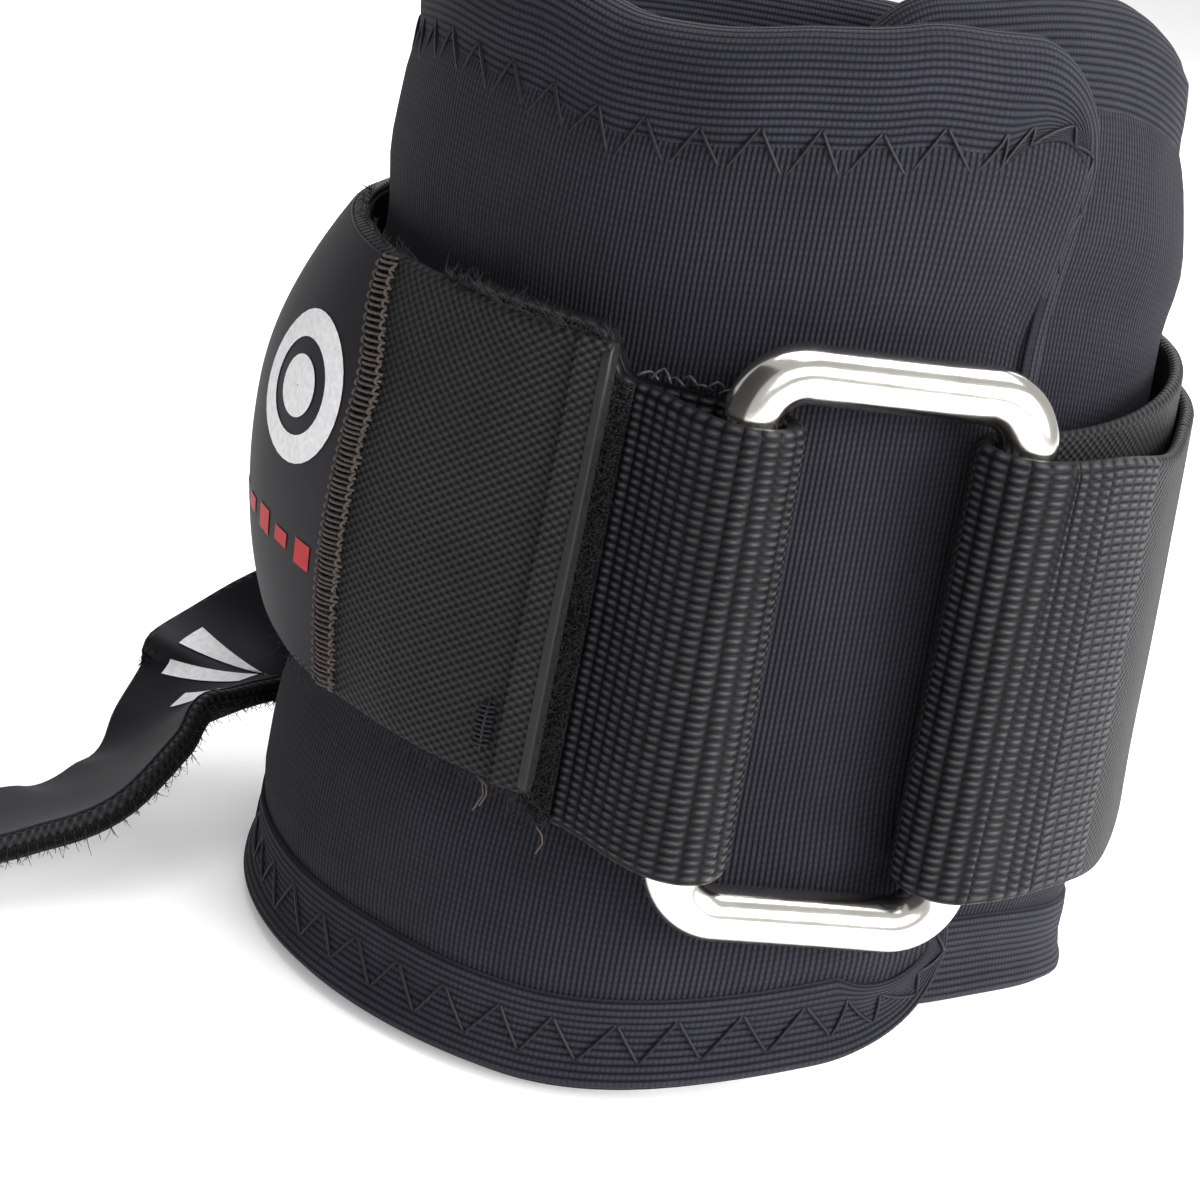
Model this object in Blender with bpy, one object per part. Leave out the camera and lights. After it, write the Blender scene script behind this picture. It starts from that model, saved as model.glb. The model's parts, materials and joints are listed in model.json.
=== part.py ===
"""A padded ankle cuff for cable machines: a wrap of knit-covered foam with bound edges, one
rectangular ring held by a webbing loop, and a strap that turns round the ring's other bar, goes
round the cuff and closes on itself with hook-and-loop tape.

The cuff stands on its lower rim.  Its ring faces -Y.  Angles run round the cuff in degrees from
the front (-Y) towards the right (+X), so 90 is the right side, 180 the back and 270 the left.
A wall distance is measured outwards from the knit face of the pad.
"""

from math import atan2, cos, degrees, hypot, pi, radians, sin, sqrt

import bmesh
import bpy
from mathutils import Matrix, Vector

# ---- Driving dimensions, in metres and degrees -------------------------------------------------

PAD_HEIGHT = 0.116
FACE_RADIUS_BOTTOM = 0.0520
FACE_RADIUS_TOP = 0.0455
MEAN_RADIUS = (FACE_RADIUS_BOTTOM + FACE_RADIUS_TOP) / 2

FOAM = 0.0044
KNIT = 0.0006
BINDING = 0.0006
GAP = 0.0003
HALF_GAP = 0.0002
BINDING_DEPTH = 0.0115
END_BINDING_DEPTH = 0.0035   # the binding narrows round the corners to this at the two ends
BINDING_EDGE = 0.0010
BINDING_CHAMFER = 0.0008
CORNER_RADIUS = 0.0145

PAD_START = -14.0          # inner end of the wrap, hidden under the outer end
PAD_END = 384.0            # outer end of the wrap, behind the ring's right bar
OVERLAP_STEP = 0.0090      # how far the inner end lies inside the outer end
STEP_FROM, STEP_TO = 21.0, 74.0
END_LIFT = 0.0095          # the outer end sits a little higher than the rest
LIFT_FROM = 318.0
START_LIFT = 0.0080        # and so does the stretch next to the inner end
START_LIFT_FROM, START_LIFT_TO = 40.0, 105.0
PAD_STEP = 6.0             # degrees between stations along the pad
END_STEP = 0.020           # and between stations up its ends

WEBBING_WIDTH = 0.050
WEBBING = 0.0016
STRAP_LOW = 0.0330         # lower edge of the webbing at the ring
RING_MIDDLE = STRAP_LOW + WEBBING_WIDTH / 2

RING_WIDTH = 0.0370
RING_HEIGHT = 0.0665
RING_BAR = 0.0064
RING_CORNER = 0.0056       # of the bar's centre line
RING_STANDOFF = 0.0046     # of the bar's centre line, from the pad's face at the front
RING_SIDES = 14
BAR_CLEARANCE = 0.0006

STRAP_HINGES = [25.0, 95.0, 165.0, 235.0, 299.5]
STRAP_END = 327.0
STRAP_STEP = 7.0           # degrees between stations along the straps
LEG_STEP = 4.0             # and along the webbing between a bar and the pad
FOLD_STEP = 2.5
TURN_STEP = 22.5           # degrees of turn between stations round a bar
CORNER_STEP = 15.0
STRAP_WALL = [
    (16.0, 0.0114), (62.0, 0.0040), (130.0, 0.0040), (182.0, 0.0064), (254.0, 0.0078), (300.0, 0.0073),
]
STRAP_RISE = [
    (25.0, 0.0), (48.0, -0.0025), (100.0, -0.001), (180.0, 0.003), (254.0, 0.0045), (327.0, 0.0045),
]
TAPE = 0.0006
TAPE_MARGIN = 0.0010
HEM = 0.0010
HEM_FROM = 324.0
LOOP_TAPE_FROM = 238.0

INNER_RUN_FROM = 20.0
INNER_RUN_END = 172.0
INNER_RUN_WALL = 0.0021
INNER_RUN_RISE = 0.0035
INNER_RUN_RISE_OVER = 60.0  # degrees in which it rises by that much
FOLD_INNER_FROM = 17.5     # where the fold's two legs leave the ring's right bar
FOLD_OUTER_FROM = 19.0

ANCHOR_JOIN = -31.0
ANCHOR_END = -58.0
ANCHOR_BACK_FROM = -22.0   # where the loop's two legs leave the ring's left bar
ANCHOR_FRONT_FROM = -20.0
ANCHOR_STEP = 6.0
ANCHOR_BACK_WALL = 0.0011
ANCHOR_FRONT_WALL = 0.0030
HOOK_PATCH_FROM = -31.0
HOOK_TAPE = 0.0009

LABEL_FROM, LABEL_TO = 240.0, 295.0
LABEL = 0.0005
LABEL_MARGIN = 0.0030
SEAM_FROM, SEAM_TO = 295.8, 298.4
SEAM = 0.0007
SEAM_MARGIN = 0.0005
TACK_FROM, TACK_TO = 320.5, 322.0
TACK_MARGIN = 0.0200

TAIL_WIDTH = 0.022
# The tail's middle while it lies on the pad, as (angle, height, wall distance), and then as it
# leaves the cuff at the left rear and droops to the floor, with the direction to its upper edge.
TAIL_ON_PAD = [
    (184.0, 0.0540, 0.0017),
    (199.0, 0.0410, 0.0018),
    (212.0, 0.0300, 0.0026),
    (222.0, 0.0225, 0.0046),
]
TAIL_LOOSE = [
    ((-0.0500, 0.0355, 0.0180), (0.25, -0.15, 0.95)),
    ((-0.0625, 0.0270, 0.0145), (0.45, -0.60, 0.75)),
    ((-0.0750, 0.0185, 0.0110), (0.48, -0.75, 0.45)),
    ((-0.0875, 0.0115, 0.0072), (0.40, -0.85, 0.22)),
    ((-0.0990, 0.0060, 0.0048), (0.38, -0.92, 0.10)),
]
TAIL_HINGE_POINT = 3
TAIL_PIECES = 4
TAIL_LABEL_FROM, TAIL_LABEL_TO = 4, 17
TAIL_WEBBING = 0.0014
TAIL_TAPE = 0.0012

COLOURS = {
    "knit": (0.016, 0.016, 0.022, 0.9, 0.0),
    "binding": (0.018, 0.018, 0.024, 0.85, 0.0),
    "foam": (0.05, 0.05, 0.05, 0.95, 0.0),
    "webbing": (0.012, 0.012, 0.013, 0.7, 0.0),
    "tape": (0.010, 0.010, 0.010, 0.95, 0.0),
    "satin": (0.020, 0.020, 0.024, 0.4, 0.0),
    "thread": (0.05, 0.035, 0.03, 0.6, 0.0),
    "nickel": (0.72, 0.69, 0.64, 0.18, 1.0),
}


# ---- Small helpers -----------------------------------------------------------------------------

def material(name):
    """The finish of that name, made the first time it is asked for."""
    found = bpy.data.materials.get(name)
    if found:
        return found
    made = bpy.data.materials.new(name)
    made.use_nodes = True
    red, green, blue, rough, metal = COLOURS[name]
    shader = made.node_tree.nodes["Principled BSDF"]
    shader.inputs["Base Color"].default_value = (red, green, blue, 1.0)
    shader.inputs["Roughness"].default_value = rough
    shader.inputs["Metallic"].default_value = metal
    return made


def smooth(t):
    """0 to 1 with level ends."""
    t = min(max(t, 0.0), 1.0)
    return t * t * (3.0 - 2.0 * t)


def along(keys, angle):
    """The value at an angle, eased between the (angle, value) keys."""
    if angle <= keys[0][0]:
        return keys[0][1]
    for (a, value_a), (b, value_b) in zip(keys, keys[1:]):
        if angle <= b:
            return value_a + (value_b - value_a) * smooth((angle - a) / (b - a))
    return keys[-1][1]


def steps(first, last, spacing):
    """Evenly spaced values from first to last, about that far apart."""
    count = max(1, round(abs(last - first) / spacing))
    return [first + (last - first) * i / count for i in range(count + 1)]


def loft(name, sections, finish, closed=False, twisted=False):
    """A closed solid through cross-sections that all have the same number of corners.

    The sides of a twisted one aren't flat, so they are split into triangles.
    """
    mesh = bmesh.new()
    rings = [[mesh.verts.new(point) for point in section] for section in sections]
    pairs = list(zip(rings, rings[1:]))
    if closed:
        pairs.append((rings[-1], rings[0]))
    for here, there in pairs:
        for i in range(len(here)):
            j = (i + 1) % len(here)
            mesh.faces.new((here[i], here[j], there[j], there[i]))
    if not closed:
        mesh.faces.new(rings[0])
        mesh.faces.new(rings[-1])
    bmesh.ops.recalc_face_normals(mesh, faces=mesh.faces)
    if twisted:
        bmesh.ops.triangulate(mesh, faces=mesh.faces)
    data = bpy.data.meshes.new(name)
    mesh.to_mesh(data)
    mesh.free()
    data.materials.append(material(finish))
    piece = bpy.data.objects.new(name, data)
    bpy.context.scene.collection.objects.link(piece)
    piece.parent = bpy.data.objects["cuff_frame"]
    return piece


def set_origin(piece, place):
    """Moves a piece's origin to a point without moving its shape."""
    piece.data.transform(Matrix.Translation(-place))
    piece.location = place


# ---- The wall of the pad -----------------------------------------------------------------------

def face_radius(z):
    """Radius of the pad's knit face at a height: the cuff narrows a little towards its top."""
    return FACE_RADIUS_BOTTOM + (FACE_RADIUS_TOP - FACE_RADIUS_BOTTOM) * z / PAD_HEIGHT


def round_point(angle, z, wall):
    """A point round the cuff, at a height, a wall distance out from the knit face."""
    radius = face_radius(z) + wall
    turn = radians(angle)
    return Vector((radius * sin(turn), -radius * cos(turn), z))


def pad_point(angle, z, wall):
    """The same on the spiral pad, whose inner end steps in and whose two ends are lifted."""
    inset = OVERLAP_STEP * (1.0 - smooth((angle - STEP_FROM) / (STEP_TO - STEP_FROM)))
    lift = END_LIFT * smooth((angle - LIFT_FROM) / (PAD_END - LIFT_FROM))
    lift += START_LIFT * smooth((START_LIFT_TO - angle) / (START_LIFT_TO - START_LIFT_FROM))
    return round_point(angle, z + lift, wall - inset)


def arc_degrees(length):
    """The angle that a length along the pad takes up."""
    return degrees(length / MEAN_RADIUS)


def pad_layer(name, wall_in, wall_out, finish):
    """One layer of the pad: the rounded outline of the pad, set in under its binding."""
    inset = BINDING_EDGE + GAP
    radius = CORNER_RADIUS - inset
    first = PAD_START + arc_degrees(inset)
    last = PAD_END - arc_degrees(inset)
    corner = arc_degrees(radius)
    turn = [corner * (1.0 - cos(radians(a))) for a in steps(0.0, 90.0, TURN_STEP)]
    stations = [first + t for t in turn]
    stations += steps(first + corner, last - corner, PAD_STEP)[1:-1]
    stations += [last - t for t in reversed(turn)]
    sections = []
    for angle in stations:
        from_end = min(angle - first, last - angle) * MEAN_RADIUS * pi / 180.0
        short = radius - min(from_end, radius)
        cut = inset + radius - sqrt(max(radius * radius - short * short, 0.0))
        sections.append([
            pad_point(angle, cut, wall_in),
            pad_point(angle, cut, wall_out),
            pad_point(angle, PAD_HEIGHT - cut, wall_out),
            pad_point(angle, PAD_HEIGHT - cut, wall_in),
        ])
    return loft(name, sections, finish)


FOAM_OUT = -KNIT - GAP
FOAM_IN = FOAM_OUT - FOAM
LINING_OUT = FOAM_IN - GAP
LINING_IN = LINING_OUT - KNIT
BINDING_OUT = GAP + BINDING
BINDING_IN = LINING_IN - GAP - BINDING

# Corners of the folded binding's section: depth in from the edge, and wall distance.
BINDING_SECTION = [
    (BINDING_DEPTH, BINDING_OUT),
    (BINDING_CHAMFER, BINDING_OUT),
    (0.0, BINDING_OUT - BINDING_CHAMFER),
    (0.0, BINDING_IN + BINDING_CHAMFER),
    (BINDING_CHAMFER, BINDING_IN),
    (BINDING_DEPTH, BINDING_IN),
    (BINDING_DEPTH, BINDING_IN + BINDING),
    (BINDING_EDGE, BINDING_IN + BINDING),
    (BINDING_EDGE, BINDING_OUT - BINDING),
    (BINDING_DEPTH, BINDING_OUT - BINDING),
]


def rim_binding(name, edge_z, inward):
    """Binding folded over the upper or lower edge, between the rounded corners."""
    corner = arc_degrees(CORNER_RADIUS + GAP)
    sections = [
        [pad_point(angle, edge_z + inward * depth, wall) for depth, wall in BINDING_SECTION]
        for angle in steps(PAD_START + corner, PAD_END - corner, PAD_STEP)
    ]
    return loft(name, sections, "binding")


def end_binding(name, end_angle, outward):
    """Binding folded round one end of the pad, with its two rounded corners."""
    sections = []
    low = CORNER_RADIUS
    high = PAD_HEIGHT - CORNER_RADIUS
    turns = [(low, turn) for turn in steps(-90.0, 0.0, CORNER_STEP)]
    turns += [(z, 0.0) for z in steps(low, high, END_STEP)[1:-1]]
    turns += [(high, turn) for turn in steps(0.0, 90.0, CORNER_STEP)]
    for centre_z, turn in turns:
        section = []
        narrow = 1.0 - smooth(abs(turn) / 90.0)
        widest = BINDING_DEPTH + (END_BINDING_DEPTH - BINDING_DEPTH) * narrow
        for depth, wall in BINDING_SECTION:
            reach = CORNER_RADIUS - min(depth, widest)
            back = CORNER_RADIUS - reach * cos(radians(turn))
            angle = end_angle - outward * arc_degrees(back)
            section.append(pad_point(angle, centre_z + reach * sin(radians(turn)), wall))
        sections.append(section)
    return loft(name, sections, "binding")


# ---- Straps ------------------------------------------------------------------------------------

def strap_section(angle, low, width, wall, thickness):
    """Section of a strap lying round the cuff, its middle a wall distance out."""
    inner = wall - thickness / 2
    outer = wall + thickness / 2
    return [
        round_point(angle, low, inner),
        round_point(angle, low, outer),
        round_point(angle, low + width, outer),
        round_point(angle, low + width, inner),
    ]


def gap_degrees():
    """Half of the gap between two pieces that meet end to end."""
    return degrees(HALF_GAP / MEAN_RADIUS)


def outer_strap(name, first, last, thickness=WEBBING, shift=0.0, margin=0.0, finish="webbing"):
    """A stretch of the outer strap, or of something that lies on it, from one angle to another."""
    sections = []
    for angle in steps(first + gap_degrees(), last - gap_degrees(), STRAP_STEP):
        low = STRAP_LOW + along(STRAP_RISE, angle) + margin
        width = WEBBING_WIDTH - 2 * margin
        sections.append(strap_section(angle, low, width, along(STRAP_WALL, angle) + shift, thickness))
    return loft(name, sections, finish)


def bar_place(side, z):
    """Middle of the ring's upright bar at a height: side is +1 at the right, -1 at the left."""
    return Vector((side * (RING_WIDTH - RING_BAR) / 2, -(face_radius(z) + RING_STANDOFF), z))


def bar_turn(side, z, turn, radius):
    """A point round an upright bar: turn 0 faces away from the cuff and 180 faces it."""
    middle = bar_place(side, z)
    facing = atan2(middle.x, -middle.y)
    angle = facing - side * radians(turn)
    return middle + Vector((sin(angle), -cos(angle), 0.0)) * radius


def strip(name, path_at, thickness, finish="webbing"):
    """Upright webbing along a path in plan, which path_at gives at each edge's height."""
    edges = [path_at(STRAP_LOW), path_at(STRAP_LOW + WEBBING_WIDTH)]
    sections = []
    for i in range(len(edges[0])):
        corners = []
        for path in edges:
            travel = path[min(i + 1, len(path) - 1)] - path[max(i - 1, 0)]
            side = Vector((travel.y, -travel.x, 0.0)).normalized() * (thickness / 2)
            corners += [path[i] - side, path[i] + side]
        sections.append([corners[0], corners[1], corners[3], corners[2]])
    return loft(name, sections, finish)


TURN_RADIUS = RING_BAR / 2 + BAR_CLEARANCE + WEBBING / 2


def leg(side, z, turn, first, last, wall, spacing):
    """Points of webbing running from a bar, where it starts at that turn, to a wall distance."""
    start = bar_turn(side, z, turn, TURN_RADIUS)
    start_wall = hypot(start.x, start.y) - face_radius(z)
    start_angle = degrees(atan2(start.x, -start.y))
    points = []
    for angle in steps(first, last, spacing):
        part = smooth((angle - start_angle) / (last - start_angle))
        points.append(round_point(angle, z, start_wall + (wall - start_wall) * part))
    return points


def ribbon(name, frames, width, thickness, shift, finish):
    """A strip through (middle, across, outward) frames, shifted off its middle surface."""
    sections = []
    for middle, across, outward in frames:
        inner = middle + outward * (shift - thickness / 2)
        outer = middle + outward * (shift + thickness / 2)
        half = across * (width / 2)
        sections.append([inner - half, outer - half, outer + half, inner + half])
    return loft(name, sections, finish, twisted=True)


def tail_points():
    """The tail's (middle, edge direction) points: up the pad's slope first, then in the open."""
    points = []
    for angle, z, wall in TAIL_ON_PAD:
        here = round_point(angle, z, wall)
        points.append((here, (round_point(angle, z + TAIL_WIDTH, wall) - here).normalized()))
    points += [(Vector(place), Vector(edge).normalized()) for place, edge in TAIL_LOOSE]
    return points


def smooth_route(points, pieces):
    """Frames on a smooth curve through the points, pieces of them for each leg."""
    stations = []
    for i in range(len(points) - 1):
        quad = [points[max(i - 1, 0)], points[i], points[i + 1], points[min(i + 2, len(points) - 1)]]
        for k in range(pieces):
            t = k / pieces
            stations.append([blend_quad([q[n] for q in quad], t) for n in (0, 1)])
    stations.append(points[-1])
    frames = []
    for i, (middle, edge) in enumerate(stations):
        travel = stations[min(i + 1, len(stations) - 1)][0] - stations[max(i - 1, 0)][0]
        travel.normalize()
        across = (edge - travel * edge.dot(travel)).normalized()
        frames.append((middle, across, travel.cross(across).normalized()))
    return frames


def blend_quad(p, t):
    """A point of the curve that passes evenly through four points, between the middle two."""
    return 0.5 * (
        2.0 * p[1]
        + (p[2] - p[0]) * t
        + (2.0 * p[0] - 5.0 * p[1] + 4.0 * p[2] - p[3]) * t * t
        + (3.0 * p[1] - p[0] - 3.0 * p[2] + p[3]) * t * t * t
    )


# ---- Sub-parts ---------------------------------------------------------------------------------

def make_pad():
    """Foam, its knit cover and lining, and the binding along all four edges."""
    pad_layer("foam_core", FOAM_IN, FOAM_OUT, "foam")
    pad_layer("outer_cover", -KNIT, 0.0, "knit")
    pad_layer("inner_lining", LINING_IN, LINING_OUT, "knit")
    rim_binding("top_binding", PAD_HEIGHT, -1.0)
    rim_binding("bottom_binding", 0.0, 1.0)
    end_binding("outer_end_binding", PAD_END, 1.0)
    end_binding("inner_end_binding", PAD_START, -1.0)


def make_ring():
    """Rectangular ring bent from round bar, standing along the cuff's slope."""
    half_width = (RING_WIDTH - RING_BAR) / 2 - RING_CORNER
    half_height = (RING_HEIGHT - RING_BAR) / 2 - RING_CORNER
    quarters = [(1, 1, 0.0), (-1, 1, 90.0), (-1, -1, 180.0), (1, -1, 270.0)]
    sections = []
    for side_x, side_z, first in quarters:
        for turn in steps(first, first + 90.0, CORNER_STEP):
            out_x, out_z = cos(radians(turn)), sin(radians(turn))
            x = side_x * half_width + RING_CORNER * out_x
            z = RING_MIDDLE + side_z * half_height + RING_CORNER * out_z
            middle = Vector((x, -(face_radius(z) + RING_STANDOFF), z))
            section = []
            for k in range(RING_SIDES):
                spin = 2 * pi * k / RING_SIDES
                reach = RING_BAR / 2 * cos(spin)
                section.append(middle + Vector((reach * out_x, RING_BAR / 2 * sin(spin), reach * out_z)))
            sections.append(section)
    ring = loft("ring", sections, "nickel", closed=True)
    ring.data.shade_smooth()
    set_origin(ring, bar_place(-1, RING_MIDDLE))


def make_anchor():
    """Webbing loop that holds the ring's left bar, with the hook tape sewn over its two ends."""
    def path_at(z):
        back = leg(-1, z, 180.0, ANCHOR_BACK_FROM, ANCHOR_JOIN, ANCHOR_BACK_WALL, LEG_STEP)
        sewn = steps(ANCHOR_JOIN, ANCHOR_END, ANCHOR_STEP)[1:]
        back += [round_point(angle, z, ANCHOR_BACK_WALL) for angle in sewn]
        front = leg(-1, z, 0.0, ANCHOR_FRONT_FROM, ANCHOR_JOIN, ANCHOR_FRONT_WALL, LEG_STEP)
        front += [round_point(angle, z, ANCHOR_FRONT_WALL) for angle in sewn]
        bend = [bar_turn(-1, z, turn, TURN_RADIUS) for turn in steps(180.0, 0.0, TURN_STEP)]
        return back[::-1] + bend + front
    strip("anchor_loop", path_at, WEBBING)
    patch_wall = ANCHOR_FRONT_WALL + WEBBING / 2 + GAP + HOOK_TAPE / 2
    patch = [
        strap_section(angle, STRAP_LOW, WEBBING_WIDTH, patch_wall, HOOK_TAPE)
        for angle in steps(HOOK_PATCH_FROM, ANCHOR_END, ANCHOR_STEP)
    ]
    loft("hook_patch", patch, "tape")


def make_ring_fold():
    """The strap's turn round the ring's right bar, fixed to the run that lies on the pad."""
    def path_at(z):
        inner = leg(1, z, 180.0, FOLD_INNER_FROM, INNER_RUN_FROM - gap_degrees(), INNER_RUN_WALL, FOLD_STEP)
        bend = [bar_turn(1, z, turn, TURN_RADIUS) for turn in steps(180.0, 0.0, TURN_STEP)]
        outer = [
            round_point(angle, z, along(STRAP_WALL, angle))
            for angle in steps(FOLD_OUTER_FROM, STRAP_HINGES[0] - gap_degrees(), FOLD_STEP)
        ]
        return inner[::-1] + bend + outer
    strip("ring_fold", path_at, WEBBING)


def make_inner_run():
    """The strap's run on the pad, from the ring's right bar round the right side to the back."""
    sections = []
    for angle in steps(INNER_RUN_FROM + gap_degrees(), INNER_RUN_END, STRAP_STEP):
        low = STRAP_LOW + INNER_RUN_RISE * smooth((angle - INNER_RUN_FROM) / INNER_RUN_RISE_OVER)
        sections.append(strap_section(angle, low, WEBBING_WIDTH, INNER_RUN_WALL, WEBBING))
    loft("inner_run", sections, "webbing")


def make_outer_strap():
    """The strap's outer lap in five lengths, with the loop tape and hem of its closing end."""
    names = ["strap_front", "strap_right", "strap_back", "strap_left", "strap_tip"]
    for name, first, last in zip(names, STRAP_HINGES, STRAP_HINGES[1:] + [STRAP_END]):
        strap = outer_strap(name, first, last)
        set_origin(strap, hinge_place(first))
    tape_shift = -(WEBBING / 2 + GAP + TAPE / 2)
    outer_strap("left_loop_tape", LOOP_TAPE_FROM, STRAP_HINGES[4], TAPE, tape_shift, TAPE_MARGIN, "tape")
    outer_strap("tip_loop_tape", STRAP_HINGES[4], STRAP_END, TAPE, tape_shift, TAPE_MARGIN, "tape")
    above = WEBBING / 2 + GAP
    outer_strap("tip_hem", HEM_FROM, STRAP_END, HEM, above + HEM / 2)
    outer_strap("label_patch", LABEL_FROM, LABEL_TO, LABEL, above + LABEL / 2, LABEL_MARGIN, "satin")
    outer_strap("label_seam", SEAM_FROM, SEAM_TO, SEAM, above + SEAM / 2, SEAM_MARGIN, "thread")
    outer_strap("tip_bar_tack", TACK_FROM, TACK_TO, SEAM, above + SEAM / 2, TACK_MARGIN, "thread")


def hinge_place(angle):
    """Middle of the fold line on the outer face of the outer strap at an angle."""
    middle = RING_MIDDLE + along(STRAP_RISE, angle)
    return round_point(angle, middle, along(STRAP_WALL, angle) + WEBBING / 2)


def make_tail():
    """The narrow pull tail: sewn to the inner run's end, and loose from the left rear on."""
    frames = smooth_route(tail_points(), TAIL_PIECES)
    hinge = TAIL_HINGE_POINT * TAIL_PIECES
    root = frames[:hinge] + [moved(frames[hinge], -HALF_GAP)]
    loose = [moved(frames[hinge], HALF_GAP)] + frames[hinge + 1:]
    ribbon("tail_root", root, TAIL_WIDTH, TAIL_WEBBING, 0.0, "webbing")
    tail = ribbon("tail", loose, TAIL_WIDTH, TAIL_WEBBING, 0.0, "webbing")
    set_origin(tail, tail_hinge_place())
    under = -(TAIL_WEBBING / 2 + GAP + TAIL_TAPE / 2)
    ribbon("tail_tape", loose[1:-1], TAIL_WIDTH, TAIL_TAPE, under, "tape")
    over = TAIL_WEBBING / 2 + GAP
    patch = loose[TAIL_LABEL_FROM:TAIL_LABEL_TO]
    ribbon("tail_label", patch, TAIL_WIDTH - 2 * LABEL, LABEL, over + LABEL / 2, "satin")
    ribbon("tail_hem", loose[-3:], TAIL_WIDTH, HEM, over + HEM / 2, "webbing")


def moved(frame, distance):
    """A frame moved along the strip."""
    middle, across, outward = frame
    return (middle + across.cross(outward) * distance, across, outward)


def tail_hinge_place():
    """Middle of the fold line on the tail's outer face."""
    middle, across, outward = smooth_route(tail_points(), TAIL_PIECES)[TAIL_HINGE_POINT * TAIL_PIECES]
    return middle + outward * (TAIL_WEBBING / 2)


def rest_on_origin():
    """Puts the origin under the middle of the whole cuff, on the surface it stands on."""
    bpy.context.view_layer.update()
    corners = [
        piece.matrix_world @ vertex.co
        for piece in bpy.data.objects if piece.type == "MESH" and not piece.hide_render
        for vertex in piece.data.vertices
    ]
    low = [min(corner[i] for corner in corners) for i in range(3)]
    high = [max(corner[i] for corner in corners) for i in range(3)]
    frame = bpy.data.objects["cuff_frame"]
    frame.location = (-(low[0] + high[0]) / 2, -(low[1] + high[1]) / 2, -low[2])
    bpy.context.view_layer.update()
    report(frame.location, Vector(high) - Vector(low))


def report(shift, size):
    """Prints the sizes and joint axes that the record states."""
    print("frame shift", [round(v, 5) for v in shift], "size", [round(v, 5) for v in size])
    for angle in STRAP_HINGES:
        place = hinge_place(angle)
        below = round_point(angle, place.z - 0.02, along(STRAP_WALL, angle) + WEBBING / 2)
        above = round_point(angle, place.z + 0.02, along(STRAP_WALL, angle) + WEBBING / 2)
        print("strap hinge", angle, rounded(place + shift), "axis", rounded((below - above).normalized()))
    bar = bar_place(-1, RING_MIDDLE)
    up = (bar_place(-1, RING_MIDDLE + 0.02) - bar).normalized()
    print("ring hinge", rounded(bar + shift), "axis", rounded(up))
    across = smooth_route(tail_points(), TAIL_PIECES)[TAIL_HINGE_POINT * TAIL_PIECES][1]
    print("tail hinge", rounded(tail_hinge_place() + shift), "axis", rounded(-across))


def rounded(vector):
    """A vector's values to five places."""
    return [round(v, 5) for v in vector]


def main():
    for piece in list(bpy.data.objects):
        bpy.data.objects.remove(piece)
    frame = bpy.data.objects.new("cuff_frame", None)
    bpy.context.scene.collection.objects.link(frame)
    make_pad()
    make_ring()
    make_anchor()
    make_ring_fold()
    make_inner_run()
    make_outer_strap()
    make_tail()
    rest_on_origin()


main()
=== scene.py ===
# %% [markdown]
# # A padded ankle cuff
#
# The cuff is a wrap of knit-covered foam with bound edges.  A webbing loop holds a rectangular
# metal ring on its front, and a strap turns round the ring, goes round the cuff and closes on
# itself.  Every piece is built on the same wall: an angle round the cuff, a height above the
# surface it stands on, and a distance out from the pad's knit face.  That keeps the layers in
# order, because a layer that lies on another one only has a larger wall distance.

# %% Load the solid model and the tools
import json
from math import atan2, ceil, cos, degrees, hypot, pi, radians, sin, sqrt
from random import Random

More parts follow.
